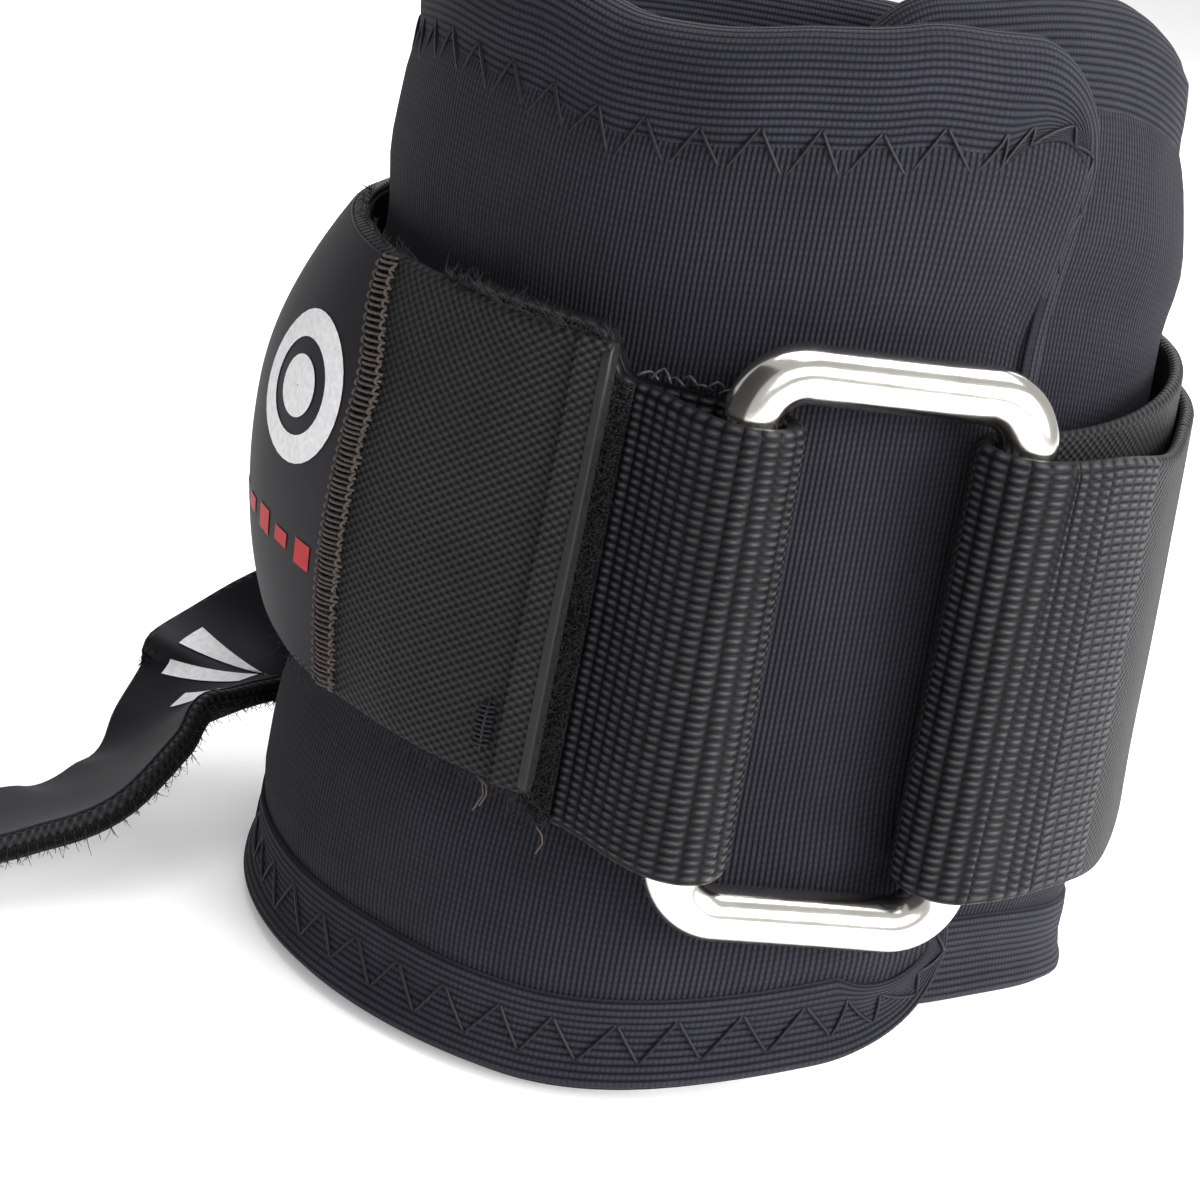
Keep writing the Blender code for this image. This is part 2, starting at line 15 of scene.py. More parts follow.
import bmesh
import bpy
from mathutils import Matrix, Vector, noise
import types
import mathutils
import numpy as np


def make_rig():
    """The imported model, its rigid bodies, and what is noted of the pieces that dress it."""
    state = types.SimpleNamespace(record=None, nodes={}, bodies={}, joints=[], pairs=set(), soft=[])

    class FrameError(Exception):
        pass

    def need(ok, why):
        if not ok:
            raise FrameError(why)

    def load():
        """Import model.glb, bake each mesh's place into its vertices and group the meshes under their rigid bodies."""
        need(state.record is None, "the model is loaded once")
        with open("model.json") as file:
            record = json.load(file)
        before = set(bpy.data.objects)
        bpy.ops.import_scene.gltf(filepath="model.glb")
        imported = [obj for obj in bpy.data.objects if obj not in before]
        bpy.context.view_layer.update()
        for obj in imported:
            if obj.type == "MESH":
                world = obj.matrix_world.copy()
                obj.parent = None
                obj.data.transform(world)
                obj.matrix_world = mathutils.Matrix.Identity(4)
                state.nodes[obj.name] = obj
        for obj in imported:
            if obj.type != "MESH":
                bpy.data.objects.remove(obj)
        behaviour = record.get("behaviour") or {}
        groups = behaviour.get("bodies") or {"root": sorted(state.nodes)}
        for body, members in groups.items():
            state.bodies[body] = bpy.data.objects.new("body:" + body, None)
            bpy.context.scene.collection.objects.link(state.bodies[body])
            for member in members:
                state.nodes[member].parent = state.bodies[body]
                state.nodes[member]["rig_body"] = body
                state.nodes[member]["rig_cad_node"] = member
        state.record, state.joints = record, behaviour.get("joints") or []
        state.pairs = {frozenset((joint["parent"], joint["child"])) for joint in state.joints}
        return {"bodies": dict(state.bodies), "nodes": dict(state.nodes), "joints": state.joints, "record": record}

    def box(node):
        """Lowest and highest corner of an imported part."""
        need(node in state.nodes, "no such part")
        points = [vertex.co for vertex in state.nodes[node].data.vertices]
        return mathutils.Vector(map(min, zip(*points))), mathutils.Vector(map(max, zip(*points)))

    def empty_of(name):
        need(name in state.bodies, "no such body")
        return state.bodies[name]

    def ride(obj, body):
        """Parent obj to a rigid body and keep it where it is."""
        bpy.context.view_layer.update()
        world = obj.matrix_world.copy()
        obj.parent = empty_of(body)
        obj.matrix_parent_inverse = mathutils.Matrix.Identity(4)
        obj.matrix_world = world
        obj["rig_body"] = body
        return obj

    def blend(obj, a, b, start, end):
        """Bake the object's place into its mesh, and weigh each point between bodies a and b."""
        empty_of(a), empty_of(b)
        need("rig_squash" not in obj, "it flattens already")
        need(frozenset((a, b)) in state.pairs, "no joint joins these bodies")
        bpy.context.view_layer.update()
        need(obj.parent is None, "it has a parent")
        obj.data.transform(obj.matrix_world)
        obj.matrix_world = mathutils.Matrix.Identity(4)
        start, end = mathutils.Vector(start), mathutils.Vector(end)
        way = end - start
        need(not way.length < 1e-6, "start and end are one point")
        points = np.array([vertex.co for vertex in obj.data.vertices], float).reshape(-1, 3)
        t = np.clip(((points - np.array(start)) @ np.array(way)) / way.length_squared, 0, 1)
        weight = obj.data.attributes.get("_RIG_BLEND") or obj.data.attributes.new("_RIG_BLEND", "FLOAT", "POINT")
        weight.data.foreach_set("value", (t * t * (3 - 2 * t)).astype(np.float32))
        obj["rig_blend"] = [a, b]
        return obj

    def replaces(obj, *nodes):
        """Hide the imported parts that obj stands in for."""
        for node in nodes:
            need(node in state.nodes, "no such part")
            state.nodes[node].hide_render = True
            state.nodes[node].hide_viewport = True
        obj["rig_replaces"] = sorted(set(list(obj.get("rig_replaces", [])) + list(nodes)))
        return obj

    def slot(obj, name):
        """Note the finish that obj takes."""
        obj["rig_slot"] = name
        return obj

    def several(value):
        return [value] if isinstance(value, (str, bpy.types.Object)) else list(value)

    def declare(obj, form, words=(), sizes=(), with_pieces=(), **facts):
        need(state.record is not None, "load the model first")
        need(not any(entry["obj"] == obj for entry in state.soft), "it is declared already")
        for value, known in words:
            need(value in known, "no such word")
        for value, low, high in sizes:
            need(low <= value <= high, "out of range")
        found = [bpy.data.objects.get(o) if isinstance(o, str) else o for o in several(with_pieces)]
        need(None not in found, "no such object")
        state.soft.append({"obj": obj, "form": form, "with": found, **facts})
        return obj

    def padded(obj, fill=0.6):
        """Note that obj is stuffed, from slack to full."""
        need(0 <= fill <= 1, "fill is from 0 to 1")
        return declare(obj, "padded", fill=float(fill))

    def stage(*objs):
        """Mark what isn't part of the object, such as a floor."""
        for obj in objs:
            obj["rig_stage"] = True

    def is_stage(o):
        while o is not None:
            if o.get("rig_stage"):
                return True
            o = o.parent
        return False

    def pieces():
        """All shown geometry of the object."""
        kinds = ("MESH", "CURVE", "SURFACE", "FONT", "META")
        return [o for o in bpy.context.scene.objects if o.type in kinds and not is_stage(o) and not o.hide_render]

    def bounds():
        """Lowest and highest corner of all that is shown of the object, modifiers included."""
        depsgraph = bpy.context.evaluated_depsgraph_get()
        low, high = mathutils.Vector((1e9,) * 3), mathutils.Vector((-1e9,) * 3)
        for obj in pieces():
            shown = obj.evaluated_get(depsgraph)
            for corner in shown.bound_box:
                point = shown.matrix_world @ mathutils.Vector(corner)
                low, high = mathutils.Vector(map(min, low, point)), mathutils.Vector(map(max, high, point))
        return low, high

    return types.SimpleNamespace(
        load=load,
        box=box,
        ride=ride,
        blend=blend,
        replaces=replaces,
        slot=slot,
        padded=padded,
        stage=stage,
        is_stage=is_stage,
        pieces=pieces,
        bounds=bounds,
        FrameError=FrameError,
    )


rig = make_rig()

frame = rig.load()
size_at_start = [list(corner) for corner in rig.bounds()]
print("solid model:", len(frame["nodes"]), "nodes from", size_at_start[0], "to", size_at_start[1])

# %% [markdown]
# ## The cuff's main sizes
#
# These follow the solid model's sizes, in metres and degrees, apart from small changes that suit
# a skin drawn over the solids.  Angles start at the front, where the ring is, and run towards the
# right side, so 90 is the right side and 270 the left.  The ring stands across the middle of the
# front, so its box gives the place of the cuff's axis.

# %% Sizes of the pad, the ring and the webbing
PAD_HEIGHT = 0.116
FACE_RADIUS_BOTTOM = 0.0520
FACE_RADIUS_TOP = 0.0455
MEAN_RADIUS = (FACE_RADIUS_BOTTOM + FACE_RADIUS_TOP) / 2
PAD_START, PAD_END = -14.0, 384.0
PAD_THICKNESS = 0.0062
OVERLAP_STEP = 0.0090
STEP_FROM, STEP_TO = 21.0, 74.0
END_LIFT = 0.0090
LIFT_FROM = 328.0
START_LIFT = 0.0080
START_LIFT_FROM, START_LIFT_TO = 40.0, 105.0
CORNER_RADIUS = 0.0145

WEBBING_WIDTH = 0.050
STRAP_LOW = 0.033
RING_MIDDLE = STRAP_LOW + WEBBING_WIDTH / 2
RING_WIDTH = 0.037
RING_HEIGHT = 0.0665
RING_BAR = 0.0064
RING_CORNER = 0.0056
RING_STANDOFF = 0.0046

MM = 0.001
ring_low, ring_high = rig.box("ring")


def face_radius(z):
    """Radius of the knit face at a height: the cuff narrows a little towards its top."""
    return FACE_RADIUS_BOTTOM + (FACE_RADIUS_TOP - FACE_RADIUS_BOTTOM) * z / PAD_HEIGHT


low_bar_z = ring_low.z + RING_BAR / 2
AXIS = Vector((
    (ring_low.x + ring_high.x) / 2,
    ring_low.y + RING_BAR / 2 + RING_STANDOFF + face_radius(low_bar_z),
    0.0,
))
print("the cuff's axis stands at", [round(v, 4) for v in AXIS])

# %% [markdown]
# ## Helpers for shapes
#
# A cloth surface here is a grid of points with a map in millimetres along and across the cloth.
# Finishes read that map, so a weave always runs along its strap and keeps its real scale.

# %% Small helpers
THREAD_TAPER = 0.75        # part of its radius that a tapered thread loses towards its tip


def smooth(t):
    """0 to 1 with level ends."""
    t = min(max(t, 0.0), 1.0)
    return t * t * (3.0 - 2.0 * t)


def window(value, low, high, ease_low, ease_high):
    """1 between two values and 0 outside them, eased in just inside each of them."""
    return smooth((value - low) / ease_low) * smooth((high - value) / ease_high)


def along(keys, value):
    """The result at a value, eased between (value, result) keys."""
    if value <= keys[0][0]:
        return keys[0][1]
    for (a, result_a), (b, result_b) in zip(keys, keys[1:]):
        if value <= b:
            return result_a + (result_b - result_a) * smooth((value - a) / (b - a))
    return keys[-1][1]


def steps(first, last, spacing):
    """Evenly spaced values from first to last, about that far apart."""
    count = max(1, ceil(abs(last - first) / spacing))
    return [first + (last - first) * i / count for i in range(count + 1)]


def round_point(angle, z, wall):
    """A point round the cuff at a height, a wall distance out from the knit face."""
    radius = face_radius(z) + wall
    turn = radians(angle)
    return AXIS + Vector((radius * sin(turn), -radius * cos(turn), z))


def arc_degrees(length):
    """The angle that a length along the pad takes up."""
    return degrees(length / MEAN_RADIUS)


def arc_length(angle):
    """The length along the pad that an angle takes up."""
    return radians(angle) * MEAN_RADIUS


def link(name, mesh_data, finish):
    """Puts a mesh into the scene with its finish and smooth shading."""
    piece = bpy.data.objects.new(name, mesh_data)
    bpy.context.scene.collection.objects.link(piece)
    mesh_data.materials.append(finish_named(finish))
    mesh_data.shade_smooth()
    return piece


def grid(name, rows, us, vs, finish, loop=False, caps=False):
    """A surface through rows of points.  us and vs are millimetres along and across the cloth."""
    count = len(rows[0])
    faces, corners = [], []
    for i in range(len(rows) - 1):
        for j in range(count if loop else count - 1):
            k = (j + 1) % count
            faces.append((i * count + j, i * count + k, (i + 1) * count + k, (i + 1) * count + j))
            corners += [(us[i], vs[j]), (us[i], vs[j + 1])]
            corners += [(us[i + 1], vs[j + 1]), (us[i + 1], vs[j])]
    if caps:
        last = (len(rows) - 1) * count
        faces.append(tuple(range(count)))
        faces.append(tuple(range(last + count - 1, last - 1, -1)))
        corners += [(us[0], v) for v in vs[:count]] + [(us[-1], v) for v in vs[:count]]
    data = bpy.data.meshes.new(name)
    data.from_pydata([point for row in rows for point in row], [], faces)
    layer = data.uv_layers.new(name="cloth_mm")
    layer.data.foreach_set("uv", [value for corner in corners for value in corner])
    work = bmesh.new()
    work.from_mesh(data)
    bmesh.ops.recalc_face_normals(work, faces=work.faces)
    work.to_mesh(data)
    work.free()
    return link(name, data, finish)


def join(name, pieces):
    """Several pieces made into one."""
    bpy.ops.object.select_all(action="DESELECT")
    for piece in pieces:
        piece.select_set(True)
    bpy.context.view_layer.objects.active = pieces[0]
    bpy.ops.object.join()
    pieces[0].name = name
    return pieces[0]


def tube_rows(points, radii, sides):
    """Rings of points round a line, kept from twisting."""
    rows = []
    normal = None
    for i, point in enumerate(points):
        travel = (points[min(i + 1, len(points) - 1)] - points[max(i - 1, 0)]).normalized()
        if normal is None:
            normal = travel.orthogonal().normalized()
        normal = (normal - travel * normal.dot(travel)).normalized()
        other = travel.cross(normal)
        rows.append([
            point + (normal * cos(2 * pi * k / sides) + other * sin(2 * pi * k / sides)) * radii[i]
            for k in range(sides)
        ])
    return rows


def threads(name, lines, radius, finish, sides=5, taper=False):
    """One mesh of many thin threads, each along its own line of points."""
    points, faces = [], []
    for line in lines:
        thinning = THREAD_TAPER if taper else 0.0
        radii = [radius * (1.0 - thinning * i / len(line)) for i in range(len(line))]
        rows = tube_rows(line, radii, sides)
        base = len(points)
        points += [point for row in rows for point in row]
        for i in range(len(rows) - 1):
            for k in range(sides):
                n = (k + 1) % sides
                here, there = base + i * sides, base + (i + 1) * sides
                faces.append((here + k, here + n, there + n, there + k))
        faces.append(tuple(base + k for k in reversed(range(sides))))
        end = base + (len(rows) - 1) * sides
        faces.append(tuple(end + k for k in range(sides)))
    data = bpy.data.meshes.new(name)
    data.from_pydata(points, [], faces)
    return link(name, data, finish)

# %% [markdown]
# ## Finishes
#
# Each cloth finish is a height pattern drawn from the map in millimetres.  The same pattern
# raises the surface as bump and is painted into the colour as light on the tops of the threads
# and shade in the grooves, a painted highlight and painted shade of the weave.  A soft noise adds
# wear, and sheen gives the pale edge that fibres catch.

# %% Material helpers


def calc(tree, operation, *values):
    """A math node's result."""
    node = tree.nodes.new("ShaderNodeMath")
    node.operation = operation
    for socket, value in zip(node.inputs, values):
        if isinstance(value, bpy.types.NodeSocket):
            tree.links.new(value, socket)
        else:
            socket.default_value = value
    return node.outputs[0]


def ridge(tree, coordinate, pitch):
    """Rounded ridges of height 1 with narrow grooves between them."""
    half_turns = calc(tree, "MULTIPLY", coordinate, pi / pitch)
    return calc(tree, "ABSOLUTE", calc(tree, "SINE", half_turns))


def wave(tree, coordinate, pitch):
    """A soft wave between 0 and 1."""
    turns = calc(tree, "SINE", calc(tree, "MULTIPLY", coordinate, 2 * pi / pitch))
    return calc(tree, "MULTIPLY_ADD", turns, 0.5, 0.5)


def knit_pattern(tree, u, v):
    """Upright wales, with the stitches as short steps along them."""
    wales = ridge(tree, u, 0.62)
    shifted = calc(tree, "MULTIPLY_ADD", wales, 0.3, v)
    stitches = calc(tree, "MULTIPLY_ADD", wave(tree, shifted, 0.8), 0.25, 0.75)
    return calc(tree, "MULTIPLY", wales, stitches)


def rib_pattern(tree, u, v):
    """Fine ribs along the binding."""
    ribs = ridge(tree, v, 0.85)
    stitches = calc(tree, "MULTIPLY_ADD", wave(tree, u, 0.6), 0.25, 0.75)
    return calc(tree, "MULTIPLY", ribs, stitches)


def weave_pattern(tree, u, v, pitch_u=1.25, pitch_v=1.0):
    """A plain weave: dots in alternate squares."""
    across = calc(tree, "SINE", calc(tree, "MULTIPLY", u, 2 * pi / pitch_u))
    over = calc(tree, "SINE", calc(tree, "MULTIPLY", v, 2 * pi / pitch_v))
    return calc(tree, "MULTIPLY_ADD", calc(tree, "MULTIPLY", across, over), 0.5, 0.5)


def dot_pattern(tree, u, v):
    """Thread floats as rows of dots along each rib of heavy webbing."""
    return calc(tree, "MULTIPLY", wave(tree, v, 0.95), ridge(tree, u, RIB_PITCH))


def pile_pattern(tree, u, v):
    """An even pile with no weave."""
    return calc(tree, "MULTIPLY", ridge(tree, u, 0.45), ridge(tree, v, 0.5))


RIB_PITCH = 1.95           # millimetres from rib to rib of the heavy webbing
# Painted shade: the grooves between threads are painted darker than the thread tops.
GROOVE_PAINTED_SHADE = 0.30              # brightness of the grooves between threads
CLOTH_SHINE, PLAIN_SHINE = 0.12, 0.2
finishes = {}
# colour, roughness, sheen, bump in millimetres, how much lighter the thread tops are painted (a painted highlight),
# pattern
CLOTHS = {
    "knit": ((0.0110, 0.0110, 0.0150), 0.90, 0.03, 0.14, 2.0, knit_pattern),
    "lining": ((0.0110, 0.0114, 0.0160), 0.95, 0.03, 0.12, 1.6, knit_pattern),
    "binding": ((0.0110, 0.0112, 0.0155), 0.85, 0.03, 0.18, 2.2, rib_pattern),
    "webbing": ((0.0060, 0.0061, 0.0068), 0.50, 0.01, 0.32, 7.0, dot_pattern),
    "weave": ((0.0060, 0.0061, 0.0064), 0.55, 0.01, 0.28, 4.2, weave_pattern),
    "pile": ((0.0040, 0.0040, 0.0045), 1.00, 0.03, 0.20, 1.6, pile_pattern),
}
# colour, roughness, sheen
PLAINS = {
    "thread": ((0.0090, 0.0090, 0.0120), 0.45, 0.02),
    "seam": ((0.0700, 0.0540, 0.0480), 0.60, 0.05),
    "fibre": ((0.0120, 0.0110, 0.0110), 0.70, 0.05),
    "hem": ((0.0120, 0.0115, 0.0115), 0.45, 0.02),
    "satin": ((0.0050, 0.0050, 0.0075), 0.62, 0.0),
    "white": ((0.7600, 0.7500, 0.7600), 0.55, 0.0),
    "red": ((0.4200, 0.0080, 0.0120), 0.55, 0.0),
    "monofilament": ((0.0500, 0.0500, 0.0540), 0.20, 0.0),
}


def new_material(name, **values):
    """(material, shader, node tree) of a new material, with values for the shader's inputs."""
    made = bpy.data.materials.new(name)
    made.use_nodes = True
    shader = made.node_tree.nodes["Principled BSDF"]
    for key, value in values.items():
        shader.inputs[key.replace("_", " ")].default_value = value
    return made, shader, made.node_tree


def paint(tree, shader, colour, light):
    """Colours a shader with a colour made lighter and darker by a result."""
    node = tree.nodes.new("ShaderNodeVectorMath")
    node.operation = "SCALE"
    node.inputs[0].default_value = colour
    tree.links.new(light, node.inputs["Scale"])
    tree.links.new(node.outputs["Vector"], shader.inputs["Base Color"])


def raise_face(tree, shader, height, strength, distance):
    """Raises a shader's surface by a height pattern."""
    node = tree.nodes.new("ShaderNodeBump")
    node.inputs["Strength"].default_value = strength
    node.inputs["Distance"].default_value = distance
    tree.links.new(height, node.inputs["Height"])
    tree.links.new(node.outputs["Normal"], shader.inputs["Normal"])


def noise_at(tree, size, detail=3.0):
    """Soft noise with blobs of that size in millimetres, about 0.5 on average."""
    place = tree.nodes.new("ShaderNodeTexCoord")
    node = tree.nodes.new("ShaderNodeTexNoise")
    node.inputs["Scale"].default_value = 1.0 / (size * MM)
    node.inputs["Detail"].default_value = detail
    tree.links.new(place.outputs["Object"], node.inputs["Vector"])
    return node.outputs["Fac"]


def cloth_material(name):
    """A woven or knitted finish, with a painted highlight on the thread tops and painted shade in the grooves."""
    colour, rough, sheen, bump, lift, pattern = CLOTHS[name]
    made, shader, tree = new_material(
        "real_" + name, Roughness=rough, Sheen_Weight=sheen, Sheen_Roughness=0.5,
        Specular_IOR_Level=CLOTH_SHINE,
    )
    cloth = tree.nodes.new("ShaderNodeUVMap")
    cloth.uv_map = "cloth_mm"
    parts = tree.nodes.new("ShaderNodeSeparateXYZ")
    tree.links.new(cloth.outputs["UV"], parts.inputs["Vector"])
    height = pattern(tree, parts.outputs["X"], parts.outputs["Y"])
    wear = calc(tree, "MULTIPLY_ADD", noise_at(tree, 9.0), 0.7, 0.65)
    fleck = calc(tree, "MULTIPLY_ADD", noise_at(tree, 0.35), 0.6, 0.7)
    # Painted highlight and painted shade: the thread tops are painted lighter and the grooves darker, and the random
    # wear and flecks then vary the tone.
    painted_highlight = calc(tree, "POWER", height, 1.5)
    light = calc(tree, "MULTIPLY", calc(tree, "MULTIPLY_ADD", painted_highlight, lift, GROOVE_PAINTED_SHADE), wear)
    paint(tree, shader, colour, calc(tree, "MULTIPLY", light, fleck))
    raise_face(tree, shader, height, 1.0, bump * MM)
    return made


def plain_material(name):
    """A finish of one colour with a little mottling."""
    colour, rough, sheen = PLAINS[name]
    made, shader, tree = new_material(
        "real_" + name, Roughness=rough, Sheen_Weight=sheen, Specular_IOR_Level=PLAIN_SHINE
    )
    paint(tree, shader, colour, calc(tree, "MULTIPLY_ADD", noise_at(tree, 0.8), 0.5, 0.75))
    return made


def nickel_material():
    """Bright nickel plate: a warm metal with faint clouding and small dents."""
    made, shader, tree = new_material("real_nickel", Base_Color=(0.80, 0.77, 0.72, 1.0), Metallic=1.0)
    rough = calc(tree, "MULTIPLY_ADD", noise_at(tree, 3.0), 0.12, 0.10)
    tree.links.new(rough, shader.inputs["Roughness"])
    raise_face(tree, shader, noise_at(tree, 2.0), 0.35, 0.05 * MM)
    return made


def finish_named(name):
    """The finish of that name, made the first time it is asked for."""
    if name not in finishes:
        if name in CLOTHS:
            finishes[name] = cloth_material(name)
        elif name in PLAINS:
            finishes[name] = plain_material(name)
        else:
            finishes[name] = nickel_material()
    return finishes[name]

# %% [markdown]
# ## The padded wrap
#
# The wrap is a spiral: its inner end steps in under its outer end, and the outer end sits a
# little higher.  The body is one closed skin of knit over foam, thin at its edges where the
# binding squeezes it and fuller between the binding and the strap.  Small folds of noise break
# its evenness, most of all away from the strap, which presses it flat.

# %% Wall of the pad
# How much higher than the plain rim the upper rim stands, by angle.
RIM_RISE = [(-14.0, 0.0010), (30.0, 0.0042), (80.0, 0.0014), (150.0, 0.0010), (220.0, 0.0015),
            (250.0, 0.0040), (285.0, 0.0062), (302.0, 0.0052), (319.0, 0.0032), (340.0, 0.0042),
            (356.0, 0.0030), (370.0, 0.0008), (384.0, -0.0005)]
# Degrees that the outer end's corners reach further than its waist.
END_FLARE_TOP, END_FLARE_BOTTOM = 4.5, 2.5
FLARE_ANGLE, FLARE_EASE = 352.0, 30.0
SHOULDER = 0.0040
SHOULDER_ANGLES = (25.0, 165.0, 40.0, 50.0)     # from, to, and the ease at each end
SHOULDER_FROM = 0.086      # height above which the rim leans in
BULGE = 0.0013
LOWER_BULGE = (0.008, 0.034, 0.008, 0.010)      # heights and eases, in the same order
UPPER_BULGE = (0.082, 0.110, 0.010, 0.010)
LINING_BULGE = 0.4         # how full the lining's side is beside the face's
FOLD_DEPTH = 0.0007
STRAP_PRESSES = (0.028, 0.094, 0.008, 0.008)


def end_flare(angle, z):
    """How far the outer end's corners stand out past its waist, in degrees."""
    reach = END_FLARE_TOP * smooth((z - 0.082) / 0.026)
    reach += END_FLARE_BOTTOM * smooth((0.024 - z) / 0.014)
    return reach * smooth((angle - FLARE_ANGLE) / FLARE_EASE)


def folds(angle, z):
    """Soft folds of the knit face, small under the strap."""
    free = 1.0 - window(z, *STRAP_PRESSES)
    turn = radians(angle)
    place = Vector((2.6 * sin(turn), 2.6 * cos(turn), 40.0 * z + angle / 180.0))
    return FOLD_DEPTH * noise.noise(place) * (0.25 + 0.75 * free)


def bulge(z):
    """Fullness of the pad between its binding and the strap."""
    return BULGE * (window(z, *LOWER_BULGE) + window(z, *UPPER_BULGE))


def shoulder(angle, z):
    """How far the rim leans in at the right, where the wrap is lifted clear of the strap."""
    return SHOULDER * window(angle, *SHOULDER_ANGLES) * smooth((z - SHOULDER_FROM) / 0.032)


def pad_point(angle, z, wall):
    """A point of the spiral wrap, a wall distance out from its face."""
    inset = OVERLAP_STEP * (1.0 - smooth((angle - STEP_FROM) / (STEP_TO - STEP_FROM)))
    inset += shoulder(angle, z)
    lift = END_LIFT * smooth((angle - LIFT_FROM) / (PAD_END - LIFT_FROM))
    lift += START_LIFT * smooth((START_LIFT_TO - angle) / (START_LIFT_TO - START_LIFT_FROM))
    lift += along(RIM_RISE, angle) * smooth(z / PAD_HEIGHT)
    return round_point(angle + end_flare(angle, z), z + lift, wall - inset)


# %% Knit body
BODY_INSET = 0.0012
BODY_EDGE = 0.0029          # radius of the body's rounded edge, half of its thickness
FACE_POINTS = 46


def body_section(angle, cut, thin):
    """Points round the wrap at an angle: up the face, over the edge and down the lining."""
    middle = -PAD_THICKNESS / 2
    points = []
    heights = [cut + (PAD_HEIGHT - 2 * cut) * i / FACE_POINTS for i in range(FACE_POINTS + 1)]
    for side, order in ((1.0, heights), (-1.0, reversed(heights))):
        for z in order:
            from_edge = min(z - cut, PAD_HEIGHT - cut - z)
            short = max(1.0 - from_edge / BODY_EDGE, 0.0)
            half = BODY_EDGE * sqrt(max(1.0 - short * short, 0.0)) * thin
            full = bulge(z) * (1.0 if side > 0 else LINING_BULGE) + folds(angle, z)
            points.append(pad_point(angle, z, middle + side * (half + full * thin)))
    return points


def pad_stations():
    """(angle, cut, thin) along the wrap, closer together at its rounded ends."""
    first = PAD_START + arc_degrees(BODY_INSET)
    last = PAD_END - arc_degrees(BODY_INSET)
    radius = CORNER_RADIUS - BODY_INSET
    from_end = [radius * (1.0 - cos(radians(a))) for a in steps(0.0, 90.0, 7.5)]
    stations = []
    for away in from_end[:-1]:
        stations.append((first + arc_degrees(away), away))
    for angle in steps(first + arc_degrees(radius), last - arc_degrees(radius), 1.5):
        stations.append((angle, radius))
    for away in reversed(from_end[:-1]):
        stations.append((last - arc_degrees(away), away))
    result = []
    for angle, away in stations:
        short = radius - min(away, radius)
        cut = BODY_INSET + radius - sqrt(max(radius * radius - short * short, 0.0))
        edge = max(1.0 - away / BODY_EDGE, 0.0)
        result.append((angle, cut, max(sqrt(max(1.0 - edge * edge, 0.0)), 0.02)))
    return result


def make_pad_body():
    """The knit-covered foam, with its lining on the inside."""
    stations = pad_stations()
    rows = [body_section(angle, cut, thin) for angle, cut, thin in stations]
    us = [arc_length(angle) / MM for angle, cut, thin in stations]
    height = PAD_HEIGHT / MM
    vs = [height * i / FACE_POINTS for i in range(FACE_POINTS + 1)]
    vs += [height + v for v in vs] + [2 * height]
    body = grid("pad_body", rows, us, vs, "knit", loop=True, caps=True)
    body.data.materials.append(finish_named("lining"))
    loop = len(rows[0])
    for face in body.data.polygons:
        if face.index % loop > FACE_POINTS:
            face.material_index = 1
    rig.replaces(body, "foam_core", "outer_cover", "inner_lining")
    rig.ride(body, "cuff")
    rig.slot(body, "knit")
    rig.padded(body, fill=0.7)
    return body


pad_body = make_pad_body()
print("pad body:", len(pad_body.data.vertices), "points")

# %% [markdown]
# ## The binding
#
# The binding is stretch cloth folded over every edge.  Its path runs along a rim, round the
# rounded corners and on down the ends, where it narrows.  The cloth puffs between the edge and
# the stitching and is pulled down where the stitches bite.

# %% Binding
TOP_DEPTH, BOTTOM_DEPTH = 0.0150, 0.0118
END_DEPTH = 0.0042
BINDING_WALL = 0.0009
STITCH_PITCH = 0.0064
TOP_STITCHES, BOTTOM_STITCHES = (0.66, 0.99), (0.36, 0.78)
PUFF_HEIGHT, STITCH_PULL = 0.0005, 0.0007
FACE_ROWS = 20             # points across the binding on the face
EDGE_ROLL = (PAD_THICKNESS + 2 * BINDING_WALL) / 2
TOP_ROLL, BOTTOM_ROLL = 0.0040, 0.0018    # how far the rounding of each rim reaches into it
RIM_LENGTH = radians(PAD_END - PAD_START) * MEAN_RADIUS - 2 * CORNER_RADIUS
CORNER_LENGTH = CORNER_RADIUS * pi / 2
END_LENGTH = PAD_HEIGHT / 2 - CORNER_RADIUS
FIRST_CORNER = PAD_START + arc_degrees(CORNER_RADIUS)
LAST_CORNER = PAD_END - arc_degrees(CORNER_RADIUS)


def edge_place(s, depth):
    """(angle, distance in from the rim) at a distance s along the edge and a depth in from it."""
    over = max(-s, s - RIM_LENGTH)
    if over <= 0.0:
        return FIRST_CORNER + arc_degrees(s), depth
    outward = 1.0 if s > 0.0 else -1.0
    corner = LAST_CORNER if s > 0.0 else FIRST_CORNER
    reach = CORNER_RADIUS - depth
    if over < CORNER_LENGTH:
        turn = over / CORNER_RADIUS
        return corner + outward * arc_degrees(reach * sin(turn)), CORNER_RADIUS - reach * cos(turn)
    return corner + outward * arc_degrees(reach), CORNER_RADIUS + over - CORNER_LENGTH


def edge_point(s, depth, wall, upper):
    """A point of the binding along the upper or the lower rim."""
    angle, down = edge_place(s, depth)
    z = PAD_HEIGHT - down if upper else down
    return pad_point(angle, z, wall + folds(angle, z) * smooth(depth / 0.006))


def binding_depth(s, upper):
    """The width of the binding, narrowing round the corners."""
    over = max(-s, s - RIM_LENGTH, 0.0)
    full = TOP_DEPTH if upper else BOTTOM_DEPTH
    return full + (END_DEPTH - full) * smooth(over / CORNER_LENGTH)


def stitch_span(upper):
    """Where the zigzag's points are, nearer the rim and further in, as parts of the binding's width."""
    return TOP_STITCHES if upper else BOTTOM_STITCHES


def puff(part, s, upper):
    """How far the cloth puffs out at a part of its width, from 0 at the rim to 1 at its inner edge."""
    outer, inner = stitch_span(upper)
    middle = (outer + inner) / 2
    held = max(1.0 - abs(part - middle) / (0.75 * (inner - outer)), 0.0)
    pull = 0.45 + 0.25 * cos(2 * pi * s / STITCH_PITCH) * (part - middle) / (inner - outer)
    return PUFF_HEIGHT * sin(pi * min(part / outer, 1.0)) - STITCH_PULL * smooth(held) * pull


